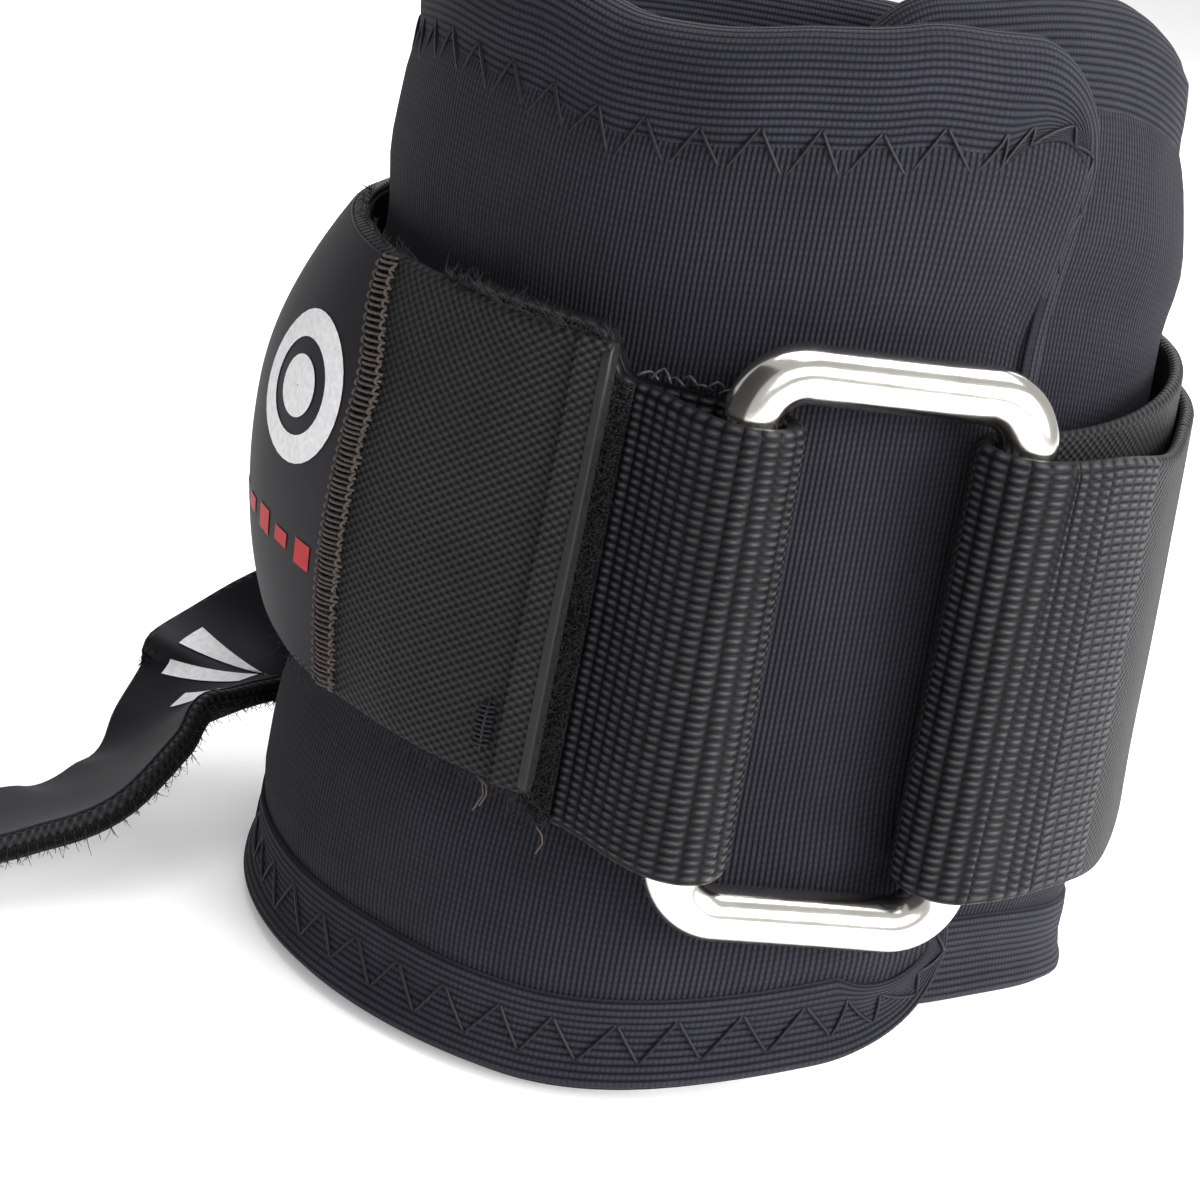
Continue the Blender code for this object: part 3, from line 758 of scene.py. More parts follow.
def binding_section(s, upper):
    """Points across the folded binding, from its edge on the face round to the lining."""
    width = binding_depth(s, upper)
    roll = min(TOP_ROLL if upper else BOTTOM_ROLL, width * 0.8)
    middle = -PAD_THICKNESS / 2
    points = [edge_point(s, width, -0.0006, upper)]
    for k in range(FACE_ROWS + 1):
        depth = width + (roll - width) * k / FACE_ROWS
        wall = BINDING_WALL + puff(depth / width, s, upper)
        points.append(edge_point(s, depth, wall, upper))
    for turn in steps(75.0, -90.0, 15.0):
        out = middle + EDGE_ROLL * sin(radians(turn))
        points.append(edge_point(s, roll - roll * cos(radians(turn)), out, upper))
    inner = middle - EDGE_ROLL
    for k in range(1, 6):
        points.append(edge_point(s, roll + (width - roll) * k / 5, inner, upper))
    points.append(edge_point(s, width, inner + BINDING_WALL + 0.0004, upper))
    return points


def make_binding(name, upper, nodes):
    """One rim's binding, with its corners and the halves of the ends next to them."""
    end = CORNER_LENGTH + END_LENGTH
    stations = steps(-end, RIM_LENGTH + end, 0.0008)
    rows = [binding_section(s, upper) for s in stations]
    vs = [0.0]
    for i in range(len(rows[0]) - 1):
        here = rows[len(rows) // 2]
        vs.append(vs[-1] + (here[i + 1] - here[i]).length / MM)
    band = grid(name, rows, [s / MM for s in stations], vs, "binding")
    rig.replaces(band, *nodes)
    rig.ride(band, "cuff")
    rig.slot(band, "binding")
    return band


top_nodes = ["top_binding", "outer_end_binding", "inner_end_binding"]
top_band = make_binding("top_binding_cloth", True, top_nodes)
bottom_band = make_binding("bottom_binding_cloth", False, ["bottom_binding"])
print("binding:", len(top_band.data.vertices) + len(bottom_band.data.vertices), "points")

# %% [markdown]
# ## Zigzag stitching
#
# A zigzag seam lets the binding stretch.  Each stitch is a real thread that dives into the
# cloth at both of its ends, so the seam reads as stitches from close by.

# %% Zigzag threads
THREAD_RADIUS = 0.00021
ZIGZAG_FROM = 0.112        # the seam on the face starts at the right rear
ZIGZAG_PAST_TOP, ZIGZAG_PAST_BOTTOM = 0.010, 0.002
random = Random(7)


def zigzag(upper, first, last):
    """Lines of single stitches along a rim, from one distance along it to another."""
    outer, inner = stitch_span(upper)
    count = int((last - first) / (STITCH_PITCH / 2))
    needles = []
    for i in range(count + 1):
        s = first + i * STITCH_PITCH / 2
        part = (inner if i % 2 else outer) + random.uniform(-0.025, 0.025)
        needles.append((s + random.uniform(-0.3, 0.3) * MM, part))
    lines = []
    for (s_a, part_a), (s_b, part_b) in zip(needles, needles[1:]):
        line = []
        for t in (0.0, 0.08, 0.25, 0.5, 0.75, 0.92, 1.0):
            s = s_a + (s_b - s_a) * t
            part = part_a + (part_b - part_a) * t
            lift = THREAD_RADIUS * (2.2 * sin(pi * t) ** 0.5 - 1.0)
            wall = BINDING_WALL + puff(part, s, upper) + lift
            line.append(edge_point(s, part * binding_depth(s, upper), wall, upper))
        lines.append(line)
    return lines


past_corner = RIM_LENGTH + CORNER_LENGTH
seams = zigzag(True, ZIGZAG_FROM, past_corner + ZIGZAG_PAST_TOP)
seams += zigzag(False, ZIGZAG_FROM, past_corner + ZIGZAG_PAST_BOTTOM)
zigzags = threads("zigzag_threads", seams, THREAD_RADIUS, "thread")
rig.ride(zigzags, "cuff")
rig.slot(zigzags, "thread")
print("zigzag:", len(seams), "stitches")

# %% [markdown]
# ## The ring
#
# The ring is one round bar bent to a rectangle with rounded corners.  It stands along the
# cuff's slope, a little off the pad, so its height and standoff follow the wall.

# %% Ring
RING_SIDES = 40


def bar_place(side, z):
    """Middle of the ring's upright bar at a height: side is +1 at the right, -1 at the left."""
    across = side * (RING_WIDTH - RING_BAR) / 2
    return AXIS + Vector((across, -(face_radius(z) + RING_STANDOFF), z))


def make_ring():
    """The ring, swept round its bent centre line."""
    half_width = (RING_WIDTH - RING_BAR) / 2 - RING_CORNER
    half_height = (RING_HEIGHT - RING_BAR) / 2 - RING_CORNER
    line = []
    for side_x, side_z, first in ((1, 1, 0.0), (-1, 1, 90.0), (-1, -1, 180.0), (1, -1, 270.0)):
        for turn in steps(first, first + 90.0, 5.0):
            x = side_x * half_width + RING_CORNER * cos(radians(turn))
            z = RING_MIDDLE + side_z * half_height + RING_CORNER * sin(radians(turn))
            out = Vector((cos(radians(turn)), 0.0, sin(radians(turn))))
            line.append((AXIS + Vector((x, -(face_radius(z) + RING_STANDOFF), z)), out))
    forward = Vector((0.0, 1.0, 0.0))
    spins = [2 * pi * k / RING_SIDES for k in range(RING_SIDES)]
    rows = [
        [middle + (out * cos(spin) + forward * sin(spin)) * (RING_BAR / 2) for spin in spins]
        for middle, out in line + line[:1]
    ]
    us = [4.0 * i for i in range(len(rows))]
    vs = [RING_BAR / MM * pi * k / RING_SIDES for k in range(RING_SIDES + 1)]
    ring = grid("ring_bar", rows, us, vs, "nickel", loop=True)
    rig.replaces(ring, "ring")
    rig.ride(ring, "ring")
    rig.slot(ring, "nickel")
    return ring


ring = make_ring()
print("ring:", [round(v / MM, 1) for v in ring.dimensions], "mm")

# %% [markdown]
# ## Webbing
#
# All webbing is swept along a route seen in plan, with a section whose edges are rounded.  The
# heavy webbing near the ring has real ribs, upright like the ring's bars; further round the
# strap the weave is finer and bump is enough for it.

# %% Webbing routes
HALF_WEBBING = 0.00085
BAR_CLEARANCE = 0.0007
TURN_RADIUS = RING_BAR / 2 + BAR_CLEARANCE + HALF_WEBBING
RIB_HEIGHT = 0.00036
ROW_STEP = 0.00028


def bar_turn(side, z, turn):
    """Webbing's middle round an upright bar: turn 0 faces away from the cuff and 180 faces it."""
    middle = bar_place(side, z)
    facing = atan2(middle.x - AXIS.x, AXIS.y - middle.y)
    angle = facing - side * radians(turn)
    return middle + Vector((sin(angle), -cos(angle), 0.0)) * TURN_RADIUS


def leg(side, z, turn, last, wall, spacing=1.0):
    """Points of webbing from a bar, where it leaves at that turn, to an angle and wall distance."""
    start = bar_turn(side, z, turn)
    away = start - AXIS
    start_wall = hypot(away.x, away.y) - face_radius(z)
    first = degrees(atan2(away.x, -away.y))
    points = []
    for angle in steps(first, last, spacing)[1:]:
        part = smooth((angle - first) / (last - first))
        points.append(round_point(angle, z, start_wall + (wall - start_wall) * part))
    return points


def even_route(low, high, spacing):
    """Both edges of a route at even distances, as (low, high, distance) stations."""
    middle = [(a + b) / 2 for a, b in zip(low, high)]
    far = [0.0]
    for a, b in zip(middle, middle[1:]):
        far.append(far[-1] + (b - a).length)
    stations = []
    k = 0
    for distance in steps(0.0, far[-1], spacing):
        while k < len(far) - 2 and far[k + 1] < distance:
            k += 1
        part = (distance - far[k]) / (far[k + 1] - far[k])
        stations.append((low[k].lerp(low[k + 1], part), high[k].lerp(high[k + 1], part), distance))
    return stations


def across_positions(width, half, spacing=0.0012):
    """Distances across a strap, closer together at its rounded edges."""
    edge = [half * part for part in (0.0, 0.12, 0.4, 0.8, 1.3)]
    return edge + steps(2 * half, width - 2 * half, spacing) + [width - x for x in reversed(edge)]


def strap_section(place, width, half, relief=0.0):
    """A section's points: along the outer face, then back along the inner one."""
    xs = across_positions(width, half)
    outer, inner = [], []
    for x in xs:
        edge = min(x, width - x)
        short = max(1.0 - edge / half, 0.0)
        thick = half * sqrt(max(1.0 - short * short, 0.0))
        rib = relief * smooth((edge - 0.0004) / 0.0010)
        outer.append(place(x, thick + rib))
        inner.append(place(x, -thick - 0.5 * rib))
    return outer + inner[-2:0:-1]


def section_map(width, half):
    """Millimetres across the cloth for the points of strap_section."""
    xs = [x / MM for x in across_positions(width, half)]
    back = [2 * xs[-1] - x for x in xs[-2:0:-1]]
    return xs + back + [2 * xs[-1]]


def strap_grid(name, rows, us, width, half, finish):
    """A closed strap through rows made by strap_section."""
    return grid(name, rows, us, section_map(width, half), finish, loop=True, caps=True)


def rib(distance):
    """Height of the upright ribs at a distance along the webbing."""
    return RIB_HEIGHT * abs(sin(pi * distance / (RIB_PITCH * MM))) ** 0.8


def route_rows(stations, half, ribbed):
    """Sections along a route; ribbed gives how strongly it is ribbed at a distance."""
    rows = []
    for i, (low, high, distance) in enumerate(stations):
        before = stations[max(i - 1, 0)]
        after = stations[min(i + 1, len(stations) - 1)]
        travel_low = (after[0] - before[0]).normalized()
        travel_high = (after[1] - before[1]).normalized()

        def place(x, out):
            t = x / WEBBING_WIDTH
            travel = travel_low.lerp(travel_high, t)
            outward = Vector((travel.y, -travel.x, 0.0)).normalized()
            return low.lerp(high, t) + outward * out

        rows.append(strap_section(place, WEBBING_WIDTH, half, rib(distance) * ribbed(distance)))
    return rows

# %% [markdown]
# ## The loop that holds the ring
#
# The loop goes round the ring's left bar and both of its ends lie under the closing end of the
# strap.  A patch of hook tape covers them, and a narrow strip of it shows beside the strap.

# %% Anchor loop and hook tape
ANCHOR_JOIN, ANCHOR_END = -31.0, -56.0
ANCHOR_BACK_WALL, ANCHOR_FRONT_WALL = 0.0012, 0.0031
HOOK_FROM, HOOK_TO = -30.4, -56.0
HALF_HOOK = 0.00045
TUCK_HEIGHT, TUCK_FROM = 0.0050, -31.5


def tuck(angle):
    """How much higher the loop's ends lie where the strap covers them."""
    return TUCK_HEIGHT * smooth((TUCK_FROM - angle) / 5.0)


def make_anchor():
    """The webbing loop, from its front end round the bar to its back end."""
    edges = []
    for z in (STRAP_LOW, STRAP_LOW + WEBBING_WIDTH):
        sewn = steps(ANCHOR_JOIN, ANCHOR_END, 1.5)[1:]
        ends = []
        for turn, wall in ((0.0, ANCHOR_FRONT_WALL), (180.0, ANCHOR_BACK_WALL)):
            end = leg(-1, z, turn, ANCHOR_JOIN, wall)
            ends.append(end + [round_point(angle, z + tuck(angle), wall) for angle in sewn])
        bend = [bar_turn(-1, z, turn) for turn in steps(0.0, 180.0, 6.0)]
        edges.append(ends[0][::-1] + bend + ends[1])
    stations = even_route(edges[0], edges[1], ROW_STEP)
    rows = route_rows(stations, HALF_WEBBING, lambda distance: 1.0)
    us = [station[2] / MM for station in stations]
    loop = strap_grid("anchor_webbing", rows, us, WEBBING_WIDTH, HALF_WEBBING, "webbing")
    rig.replaces(loop, "anchor_loop")
    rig.ride(loop, "cuff")
    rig.slot(loop, "webbing")
    return loop


def make_hook_tape():
    """The hook tape sewn over the loop's ends."""
    wall = ANCHOR_FRONT_WALL + HALF_WEBBING + HALF_HOOK + 0.0003
    angles = steps(HOOK_FROM, HOOK_TO, 1.0)
    rows = []
    for angle in angles:
        def place(x, out):
            return round_point(angle, STRAP_LOW + tuck(angle) + x, wall + out)
        rows.append(strap_section(place, WEBBING_WIDTH, HALF_HOOK))
    us = [arc_length(angle) / MM for angle in angles]
    tape = strap_grid("hook_tape", rows, us, WEBBING_WIDTH, HALF_HOOK, "pile")
    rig.replaces(tape, "hook_patch")
    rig.ride(tape, "cuff")
    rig.slot(tape, "tape")
    return wall + HALF_HOOK


anchor = make_anchor()
hook_face = make_hook_tape()
print("anchor loop:", len(anchor.data.vertices), "points")

# %% [markdown]
# ## The long strap
#
# The strap is sewn to the back of the pad, runs forward on the pad to the ring's right bar,
# turns round it and goes back over itself, round the cuff, to its closing end at the left
# front.  At the left it bows off the pad and its upper edge leans in.  The lap is cut into
# pieces half way between the fold lines, and each piece bends softly where the strap peels.

# %% Wall of the strap
STRAP_WALL = [(16.0, 0.0114), (62.0, 0.0042), (130.0, 0.0042), (182.0, 0.0066), (254.0, 0.0080),
              (300.0, 0.0075), (327.0, 0.0072)]
STRAP_RISE = [(25.0, 0.0), (48.0, -0.0025), (100.0, -0.001), (180.0, 0.003), (254.0, 0.0045),
              (327.0, 0.0045)]
# How far the strap's lower edge, middle and upper edge stand off its plain wall, by angle.
# It bulges at the left, where it hangs free of the pad.
BOW_LOW = [(190.0, 0.0), (262.0, -0.0040), (300.0, -0.0022), (322.0, 0.0)]
BOW_MIDDLE = [(190.0, 0.0), (262.0, 0.0016), (300.0, 0.0004), (322.0, 0.0)]
BOW_HIGH = [(190.0, 0.0), (262.0, -0.0052), (300.0, -0.0034), (322.0, -0.0002)]
STRAP_HINGES = [25.0, 95.0, 165.0, 235.0, 299.5]
STRAP_CUTS = [60.0, 130.0, 200.0, 267.0]
STRAP_END = 327.0
INNER_RUN_END = 172.0
INNER_RUN_WALL = 0.0021
INNER_RUN_RISE = 0.0035
RIPPLE = 0.0004
RIBS_FADE_FROM, RIBS_FADE_TO = 0.016, 0.019
INNER_PIECE_SHORT = 0.0075 # distance before the bar at which the inner piece ends
BEND_HALF = 4.0            # degrees on each side of a fold line in which the strap bends


def strap_point(angle, t, out):
    """A point of the strap's outer lap: t is 0 at its lower edge and 1 at its upper one."""
    z = STRAP_LOW + along(STRAP_RISE, angle) + WEBBING_WIDTH * t
    low, middle, high = (along(keys, angle) for keys in (BOW_LOW, BOW_MIDDLE, BOW_HIGH))
    edge = high if t > 0.5 else low
    bow = middle + (edge - middle) * abs(2.0 * t - 1.0) ** 2.2
    ripple = RIPPLE * noise.noise(Vector((angle / 16.0, 2.5 * t, 0.0)))
    ripple *= smooth((angle - 40.0) / 30.0)
    return round_point(angle, z, along(STRAP_WALL, angle) + bow + ripple + out)


def strap_route():
    """Both edges of the strap, from the inner run's far end round the bar to the first fold line."""
    edges = []
    for z in (STRAP_LOW, STRAP_LOW + WEBBING_WIDTH):
        inner = []
        for angle in steps(20.5, INNER_RUN_END, 1.5):
            rise = INNER_RUN_RISE * smooth((angle - 20.0) / 60.0)
            inner.append(round_point(angle, z + rise, INNER_RUN_WALL))
        reach = leg(1, z, 180.0, 20.0, INNER_RUN_WALL, 0.5)
        bend = [bar_turn(1, z, turn) for turn in steps(180.0, 0.0, 6.0)]
        angles = steps(19.0, STRAP_HINGES[0], 0.5)
        front = [round_point(angle, z, along(STRAP_WALL, angle)) for angle in angles]
        edges.append(inner[::-1] + reach[::-1] + bend + front)
    return edges


def bend_across(piece, hinge, a, b, place):
    """Makes a piece bend between two bodies round a fold line."""
    start = place(STRAP_HINGES[hinge] - BEND_HALF, 0.5, 0.0)
    end = place(STRAP_HINGES[hinge] + BEND_HALF, 0.5, 0.0)
    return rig.blend(piece, a, b, start, end)


BODIES = ["cuff", "front_length", "right_length", "back_length", "left_length", "tip_length"]
STRAP_NODES = ["strap_front", "strap_right", "strap_back", "strap_left", "strap_tip"]


def make_strap():
    """The whole strap in six pieces that meet exactly."""
    low, high = strap_route()
    stations = even_route(low, high, ROW_STEP)
    bar_at = min(range(len(stations)), key=lambda i: (stations[i][0] - bar_place(1, STRAP_LOW)).y)
    bar_distance = stations[bar_at][2]

    def ribbed(distance):
        away = abs(distance - bar_distance)
        return 1.0 - smooth((away - RIBS_FADE_FROM) / (RIBS_FADE_TO - RIBS_FADE_FROM))

    rows = route_rows(stations, HALF_WEBBING, ribbed)
    us = [station[2] / MM for station in stations]
    begin = next(i for i, s in enumerate(stations) if s[2] > bar_distance - INNER_PIECE_SHORT)
    coarse = list(range(0, begin, 5)) + [begin]
    inner = strap_grid("inner_webbing", [rows[i] for i in coarse], [us[i] for i in coarse],
                       WEBBING_WIDTH, HALF_WEBBING, "weave")
    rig.replaces(inner, "inner_run", "ring_fold")
    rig.ride(inner, "cuff")
    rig.slot(inner, "webbing")

    pieces = []
    cuts = [STRAP_HINGES[0]] + STRAP_CUTS + [STRAP_END]
    for k, (first, last) in enumerate(zip(cuts, cuts[1:])):
        lap = steps(first, last, 1.0)
        lap_rows = []
        for angle in lap:
            def place(x, out):
                return strap_point(angle, x / WEBBING_WIDTH, out)
            lap_rows.append(strap_section(place, WEBBING_WIDTH, HALF_WEBBING))
        base = us[-1] + arc_length(first - STRAP_HINGES[0]) / MM
        lap_us = [base + arc_length(angle - first) / MM for angle in lap]
        if k == 0:
            lap_rows = rows[begin:] + lap_rows[1:]
            lap_us = us[begin:] + lap_us[1:]
        node = STRAP_NODES[k]
        piece = strap_grid(node + "_webbing", lap_rows, lap_us, WEBBING_WIDTH, HALF_WEBBING, "weave")
        if k == 0:
            piece.data.materials.append(finish_named("webbing"))
            fade_at = next(i for i, u in enumerate(lap_us) if u * MM > bar_distance + RIBS_FADE_TO)
            for face in piece.data.polygons:
                if face.index // len(lap_rows[0]) < fade_at:
                    face.material_index = 1
        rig.replaces(piece, node)
        bend_across(piece, k, BODIES[k], BODIES[k + 1], strap_point)
        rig.slot(piece, "webbing")
        pieces.append(piece)
    return pieces


strap_pieces = make_strap()
strap_points = sum(len(piece.data.vertices) for piece in strap_pieces)
print("strap:", len(strap_pieces), "lengths,", strap_points, "points")

# %% [markdown]
# ## What is sewn on the strap
#
# The closing end has loop tape on its inner face and a folded hem.  A satin label covers the
# left of the strap, and an overlocked seam of short threads holds its front edge.  The label's
# marks are plain shapes, not letters.

# %% Slabs on the strap
LABEL_FROM, LABEL_TO = 241.0, 294.6
SEAM_FROM, SEAM_TO = 293.4, 297.6
SEAM_TURN = -6.5
HEM_FROM = 323.6
TAPE_FROM = 237.0
TAPE_EDGES, LABEL_EDGES = (0.02, 0.98), (0.03, 0.985)     # parts of the strap's width
HALF_TAPE = 0.0003
HALF_LABEL = 0.0002
HALF_HEM = 0.0007
MARK_ANGLE, MARK_HEIGHT = 281.5, 0.64           # middle of the roundel
RING_MARK, DISC_MARK = (0.0056, 0.0088), (0.0001, 0.0036)
DASH_HEIGHT = 0.29


def seam_shift(angle, t):
    """How far the label's front edge and its seam turn back near the strap's upper edge."""
    return SEAM_TURN * smooth((t - 0.70) / 0.32) * smooth((angle - 270.0) / 20.0)


def slab(name, first, last, low, high, out, half, finish, spacing=1.0, turned=False):
    """A thin layer on the strap between two angles and two parts of its width."""
    width = WEBBING_WIDTH * (high - low)
    angles = steps(first, last, spacing)
    rows = []
    for angle in angles:
        def place(x, offset):
            t = low + (high - low) * x / width
            shift = seam_shift(angle, t) if turned else 0.0
            return strap_point(angle + shift, t, out + offset)
        rows.append(strap_section(place, width, half))
    us = [arc_length(angle) / MM for angle in angles]
    return strap_grid(name, rows, us, width, half, finish)


def make_strap_layers():
    """Loop tapes, label, hem and end fold."""
    under = -(HALF_WEBBING + HALF_TAPE)
    above = HALF_WEBBING + HALF_LABEL
    cut = STRAP_CUTS[3]
    left_tape = slab("left_loop_pile", TAPE_FROM, cut, *TAPE_EDGES, under, HALF_TAPE, "pile")
    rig.replaces(left_tape, "left_loop_tape")
    bend_across(left_tape, 3, "back_length", "left_length", strap_point)
    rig.slot(left_tape, "tape")
    tip_tape = slab("tip_loop_pile", cut, STRAP_END - 0.3, *TAPE_EDGES, under, HALF_TAPE, "pile")
    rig.replaces(tip_tape, "tip_loop_tape")
    bend_across(tip_tape, 4, "left_length", "tip_length", strap_point)
    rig.slot(tip_tape, "tape")
    label = slab("label_satin", LABEL_FROM, LABEL_TO, *LABEL_EDGES, above, HALF_LABEL, "satin",
                 turned=True)
    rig.replaces(label, "label_patch")
    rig.ride(label, "left_length")
    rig.slot(label, "satin")
    hem = slab("tip_hem_fold", HEM_FROM, STRAP_END + 0.4, 0.0, 1.0, HALF_WEBBING + 0.0003, HALF_HEM,
               "weave", 0.25)
    edge = slab("tip_hem_edge", STRAP_END - 0.3, STRAP_END + 0.6, 0.0, 1.0, 0.0006, 2 * HALF_HEM,
                "hem", 0.15)
    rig.replaces(hem, "tip_hem")
    for piece in (hem, edge):
        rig.ride(piece, "tip_length")
        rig.slot(piece, "webbing")


def bar_mark(angle_a, t_a, angle_b, t_b, width, out):
    """One bar of a mark, as rows of three points, between two places on the strap."""
    run = Vector((arc_length(angle_b - angle_a), WEBBING_WIDTH * (t_b - t_a)))
    side = Vector((-run.y, run.x)).normalized() * width / 2
    aside, up = arc_degrees(side.x), side.y / WEBBING_WIDTH
    rows = []
    for i in range(9):
        angle = angle_a + (angle_b - angle_a) * i / 8
        t = t_a + (t_b - t_a) * i / 8
        signs = (-1.0, 0.0, 1.0)
        rows.append([strap_point(angle + sign * aside, t + sign * up, out) for sign in signs])
    return rows


def roundel(angle, t, inner, outer, out):
    """Rows of points of a flat ring on the strap, round a place on it."""
    rows = []
    for turn in steps(0.0, 360.0, 10.0):
        row = []
        for radius in (inner, (inner + outer) / 2, outer):
            aside, up = radius * cos(radians(turn)), radius * sin(radians(turn))
            row.append(strap_point(angle + arc_degrees(aside), t + up / WEBBING_WIDTH, out))
        rows.append(row)
    return rows


def make_marks():
    """The label's marks: a white ring round a white disc, and a broken red line under them."""
    out = HALF_WEBBING + 2 * HALF_LABEL + 0.00010
    whites = []
    for i, (inner, outer) in enumerate((RING_MARK, DISC_MARK)):
        rows = roundel(MARK_ANGLE, MARK_HEIGHT, inner, outer, out)
        whites.append(grid(f"mark_{i}", rows, list(range(len(rows))), [0, 1, 2], "white"))
    white = join("label_mark_white", whites)
    reds = []
    for i, angle in enumerate(range(246, 291, 6)):
        tall = 0.0030 if i % 2 else 0.0018
        rows = bar_mark(angle, DASH_HEIGHT, angle + 3.6, DASH_HEIGHT, tall, out)
        reds.append(grid(f"dash_{i}", rows, list(range(9)), [0, 1, 2], "red"))
    red = join("label_mark_red", reds)
    for piece in (white, red):
        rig.ride(piece, "left_length")
        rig.slot(piece, "satin")


make_strap_layers()
make_marks()
print("strap layers done")

# %% Overlocked seam, bar tack and loose threads
SEAM_THREAD, TACK_THREAD = 0.00017, 0.00016
LOOSE_THREAD, FILAMENT = 0.00010, 0.00016
FIBRE, TAIL_FIBRE = 0.00006, 0.00007
HOOK_FIBRES, TAIL_FIBRES = 2600, 1500
TACK_FROM, TACK_TO, TACK_STITCHES = 320.4, 322.4, 9
CHAIN_STITCHES, CHAIN_PITCH = 44, 0.022         # the pitch is a part of the strap's width
QUARTERS = (0.0, 0.25, 0.5, 0.75, 1.0)
# angle, height and length of the cut thread ends
LOOSE_ENDS = [(-39.5, 0.0375, 0.0042), (-38.6, 0.0370, 0.0030), (-31.0, 0.0336, 0.0028)]


def arch(points, height):
    """A stitch over the strap's face through (angle, t) points, highest in its middle."""
    (angle_a, part_a), (angle_b, part_b) = points
    line = []
    for i in range(7):
        t = i / 6
        angle = angle_a + (angle_b - angle_a) * t
        part = part_a + (part_b - part_a) * t
        turned = seam_shift(angle, part) if angle < SEAM_TO + 1.0 else 0.0
        line.append(strap_point(angle + turned, part, HALF_WEBBING + 0.0001 + height * sin(pi * t)))
    return line


def make_seam():
    """Short slanting stitches with two lines of chain stitch along them, and the bar tack."""
    lines = []
    t = 0.012
    while t < 0.985:
        first = SEAM_FROM + random.uniform(-0.2, 0.2)
        last = SEAM_TO + random.uniform(-0.5, 0.3)
        lines.append(arch([(first, t), (last, t + 0.008)], 0.00065))
        t += random.uniform(0.011, 0.015)
    for angle in (SEAM_FROM + 0.2, SEAM_TO - 0.4):
        for k in range(CHAIN_STITCHES):
            part = 0.01 + k * CHAIN_PITCH
            lines.append(arch([(angle, part), (angle + 0.15, part + CHAIN_PITCH)], 0.00055))
    seam = threads("label_seam_stitches", lines, SEAM_THREAD, "seam")
    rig.replaces(seam, "label_seam")
    bend_across(seam, 4, "left_length", "tip_length", strap_point)
    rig.slot(seam, "thread")

    tack = []
    for k in range(TACK_STITCHES):
        part = 0.075 + 0.011 * k
        tack.append(arch([(TACK_FROM, part), (TACK_TO, part + 0.005)], 0.0003))
    tack.append(arch([(321.4, 0.06), (321.5, 0.18)], 0.0004))
    bar_tack = threads("tip_bar_tack_stitches", tack, TACK_THREAD, "thread")
    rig.replaces(bar_tack, "tip_bar_tack")
    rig.ride(bar_tack, "tip_length")
    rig.slot(bar_tack, "thread")


def hair(root, outward, length, curl):
    """A bent fibre that starts at a point and goes outward."""
    side = Vector((random.uniform(-1, 1), random.uniform(-1, 1), random.uniform(-1, 1))) * curl
    return [root + (outward + side * t) * (length * t) for t in (0.0, 0.3, 0.65, 1.0)]


def outward_at(angle):
    """The direction straight out from the cuff's axis."""
    return Vector((sin(radians(angle)), -cos(radians(angle)), 0.0))


def edge_lint(count, first, last, sides, longest):
    """Lint along the strap's edges between two angles."""
    lines = []
    for _ in range(count):
        angle = random.uniform(first, last)
        t = random.choice(sides)
        up = Vector((0.0, 0.0, 1.0 if t else -1.0)) * 0.7
        root = strap_point(angle, t, random.uniform(-0.0005, 0.0005))
        lines.append(hair(root, outward_at(angle) * 0.5 + up, random.uniform(0.0003, longest), 1.2))
    return lines


def make_fibres():
    """The pile of the hook tape, and lint along the strap's edges."""
    pile = []
    for _ in range(HOOK_FIBRES):
        angle = random.uniform(-35.5, HOOK_FROM)
        z = STRAP_LOW + random.uniform(0.0005, WEBBING_WIDTH - 0.0005)
        root = round_point(angle, z, hook_face)
        pile.append(hair(root, outward_at(angle), random.uniform(0.0004, 0.0013), 0.9))
    strip = threads("hook_fibres", pile, FIBRE, "fibre", sides=3, taper=True)
    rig.ride(strip, "cuff")
    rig.slot(strip, "tape")

    lint_tip = edge_lint(420, 300.0, STRAP_END + 0.4, (0.0, 1.0, 1.0, 1.0), 0.0014)
    for _ in range(260):
        t = random.uniform(0.0, 1.0)
        root = strap_point(STRAP_END + 0.6, t, random.uniform(-0.0005, 0.0012))
        lint_tip.append(hair(root, outward_at(330.0) * 0.6, random.uniform(0.0003, 0.0011), 1.3))
    lint_left = edge_lint(300, 250.0, SEAM_FROM, (0.0, 1.0), 0.0012)
    for side, lines, body in (("tip", lint_tip, "tip_length"), ("left", lint_left, "left_length")):
        fluff = threads(side + "_lint", lines, FIBRE, "fibre", sides=3, taper=True)
        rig.ride(fluff, body)
        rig.slot(fluff, "tape")


def make_loose_threads():
    """A few cut thread ends and the shiny filament at the top of the loop."""
    ends = []
    for angle, z, length in LOOSE_ENDS:
        root = round_point(angle, z, 0.0068)
        path = []
        for t in QUARTERS:
            bend = Vector((0.5 * sin(3.0 * t), -0.3, -0.9 * t - 0.1)) * length * t
            path.append(root + bend)
        ends.append(path)
    loose = threads("loose_threads", ends, LOOSE_THREAD, "seam")
    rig.ride(loose, "cuff")
    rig.slot(loose, "thread")
    bits = []
    for k in range(7):
        first = -31.0 + 1.7 * k
        path = []
        for t in QUARTERS:
            angle = first + 2.6 * t
            z = STRAP_LOW + WEBBING_WIDTH + 0.0004 + 0.0012 * sin(pi * t) * (0.5 + 0.5 * (k % 2))
            path.append(round_point(angle, z, 0.0022 + 0.0004 * cos(5.0 * t + k)))
        bits.append(path)
    filament = threads("loop_filament", bits, FILAMENT, "monofilament", sides=6)
    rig.ride(filament, "cuff")
    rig.slot(filament, "thread")


make_seam()
make_fibres()
make_loose_threads()
print("stitches and fibres done")

# %% [markdown]
# ## The pull tail
#
# The tail is a narrow strip with a satin face and a fuzzy underside.  It leaves the cuff under
# the strap at the left rear and droops towards the floor, its edges curling up a little.

# %% Tail
TAIL_WIDTH = 0.022
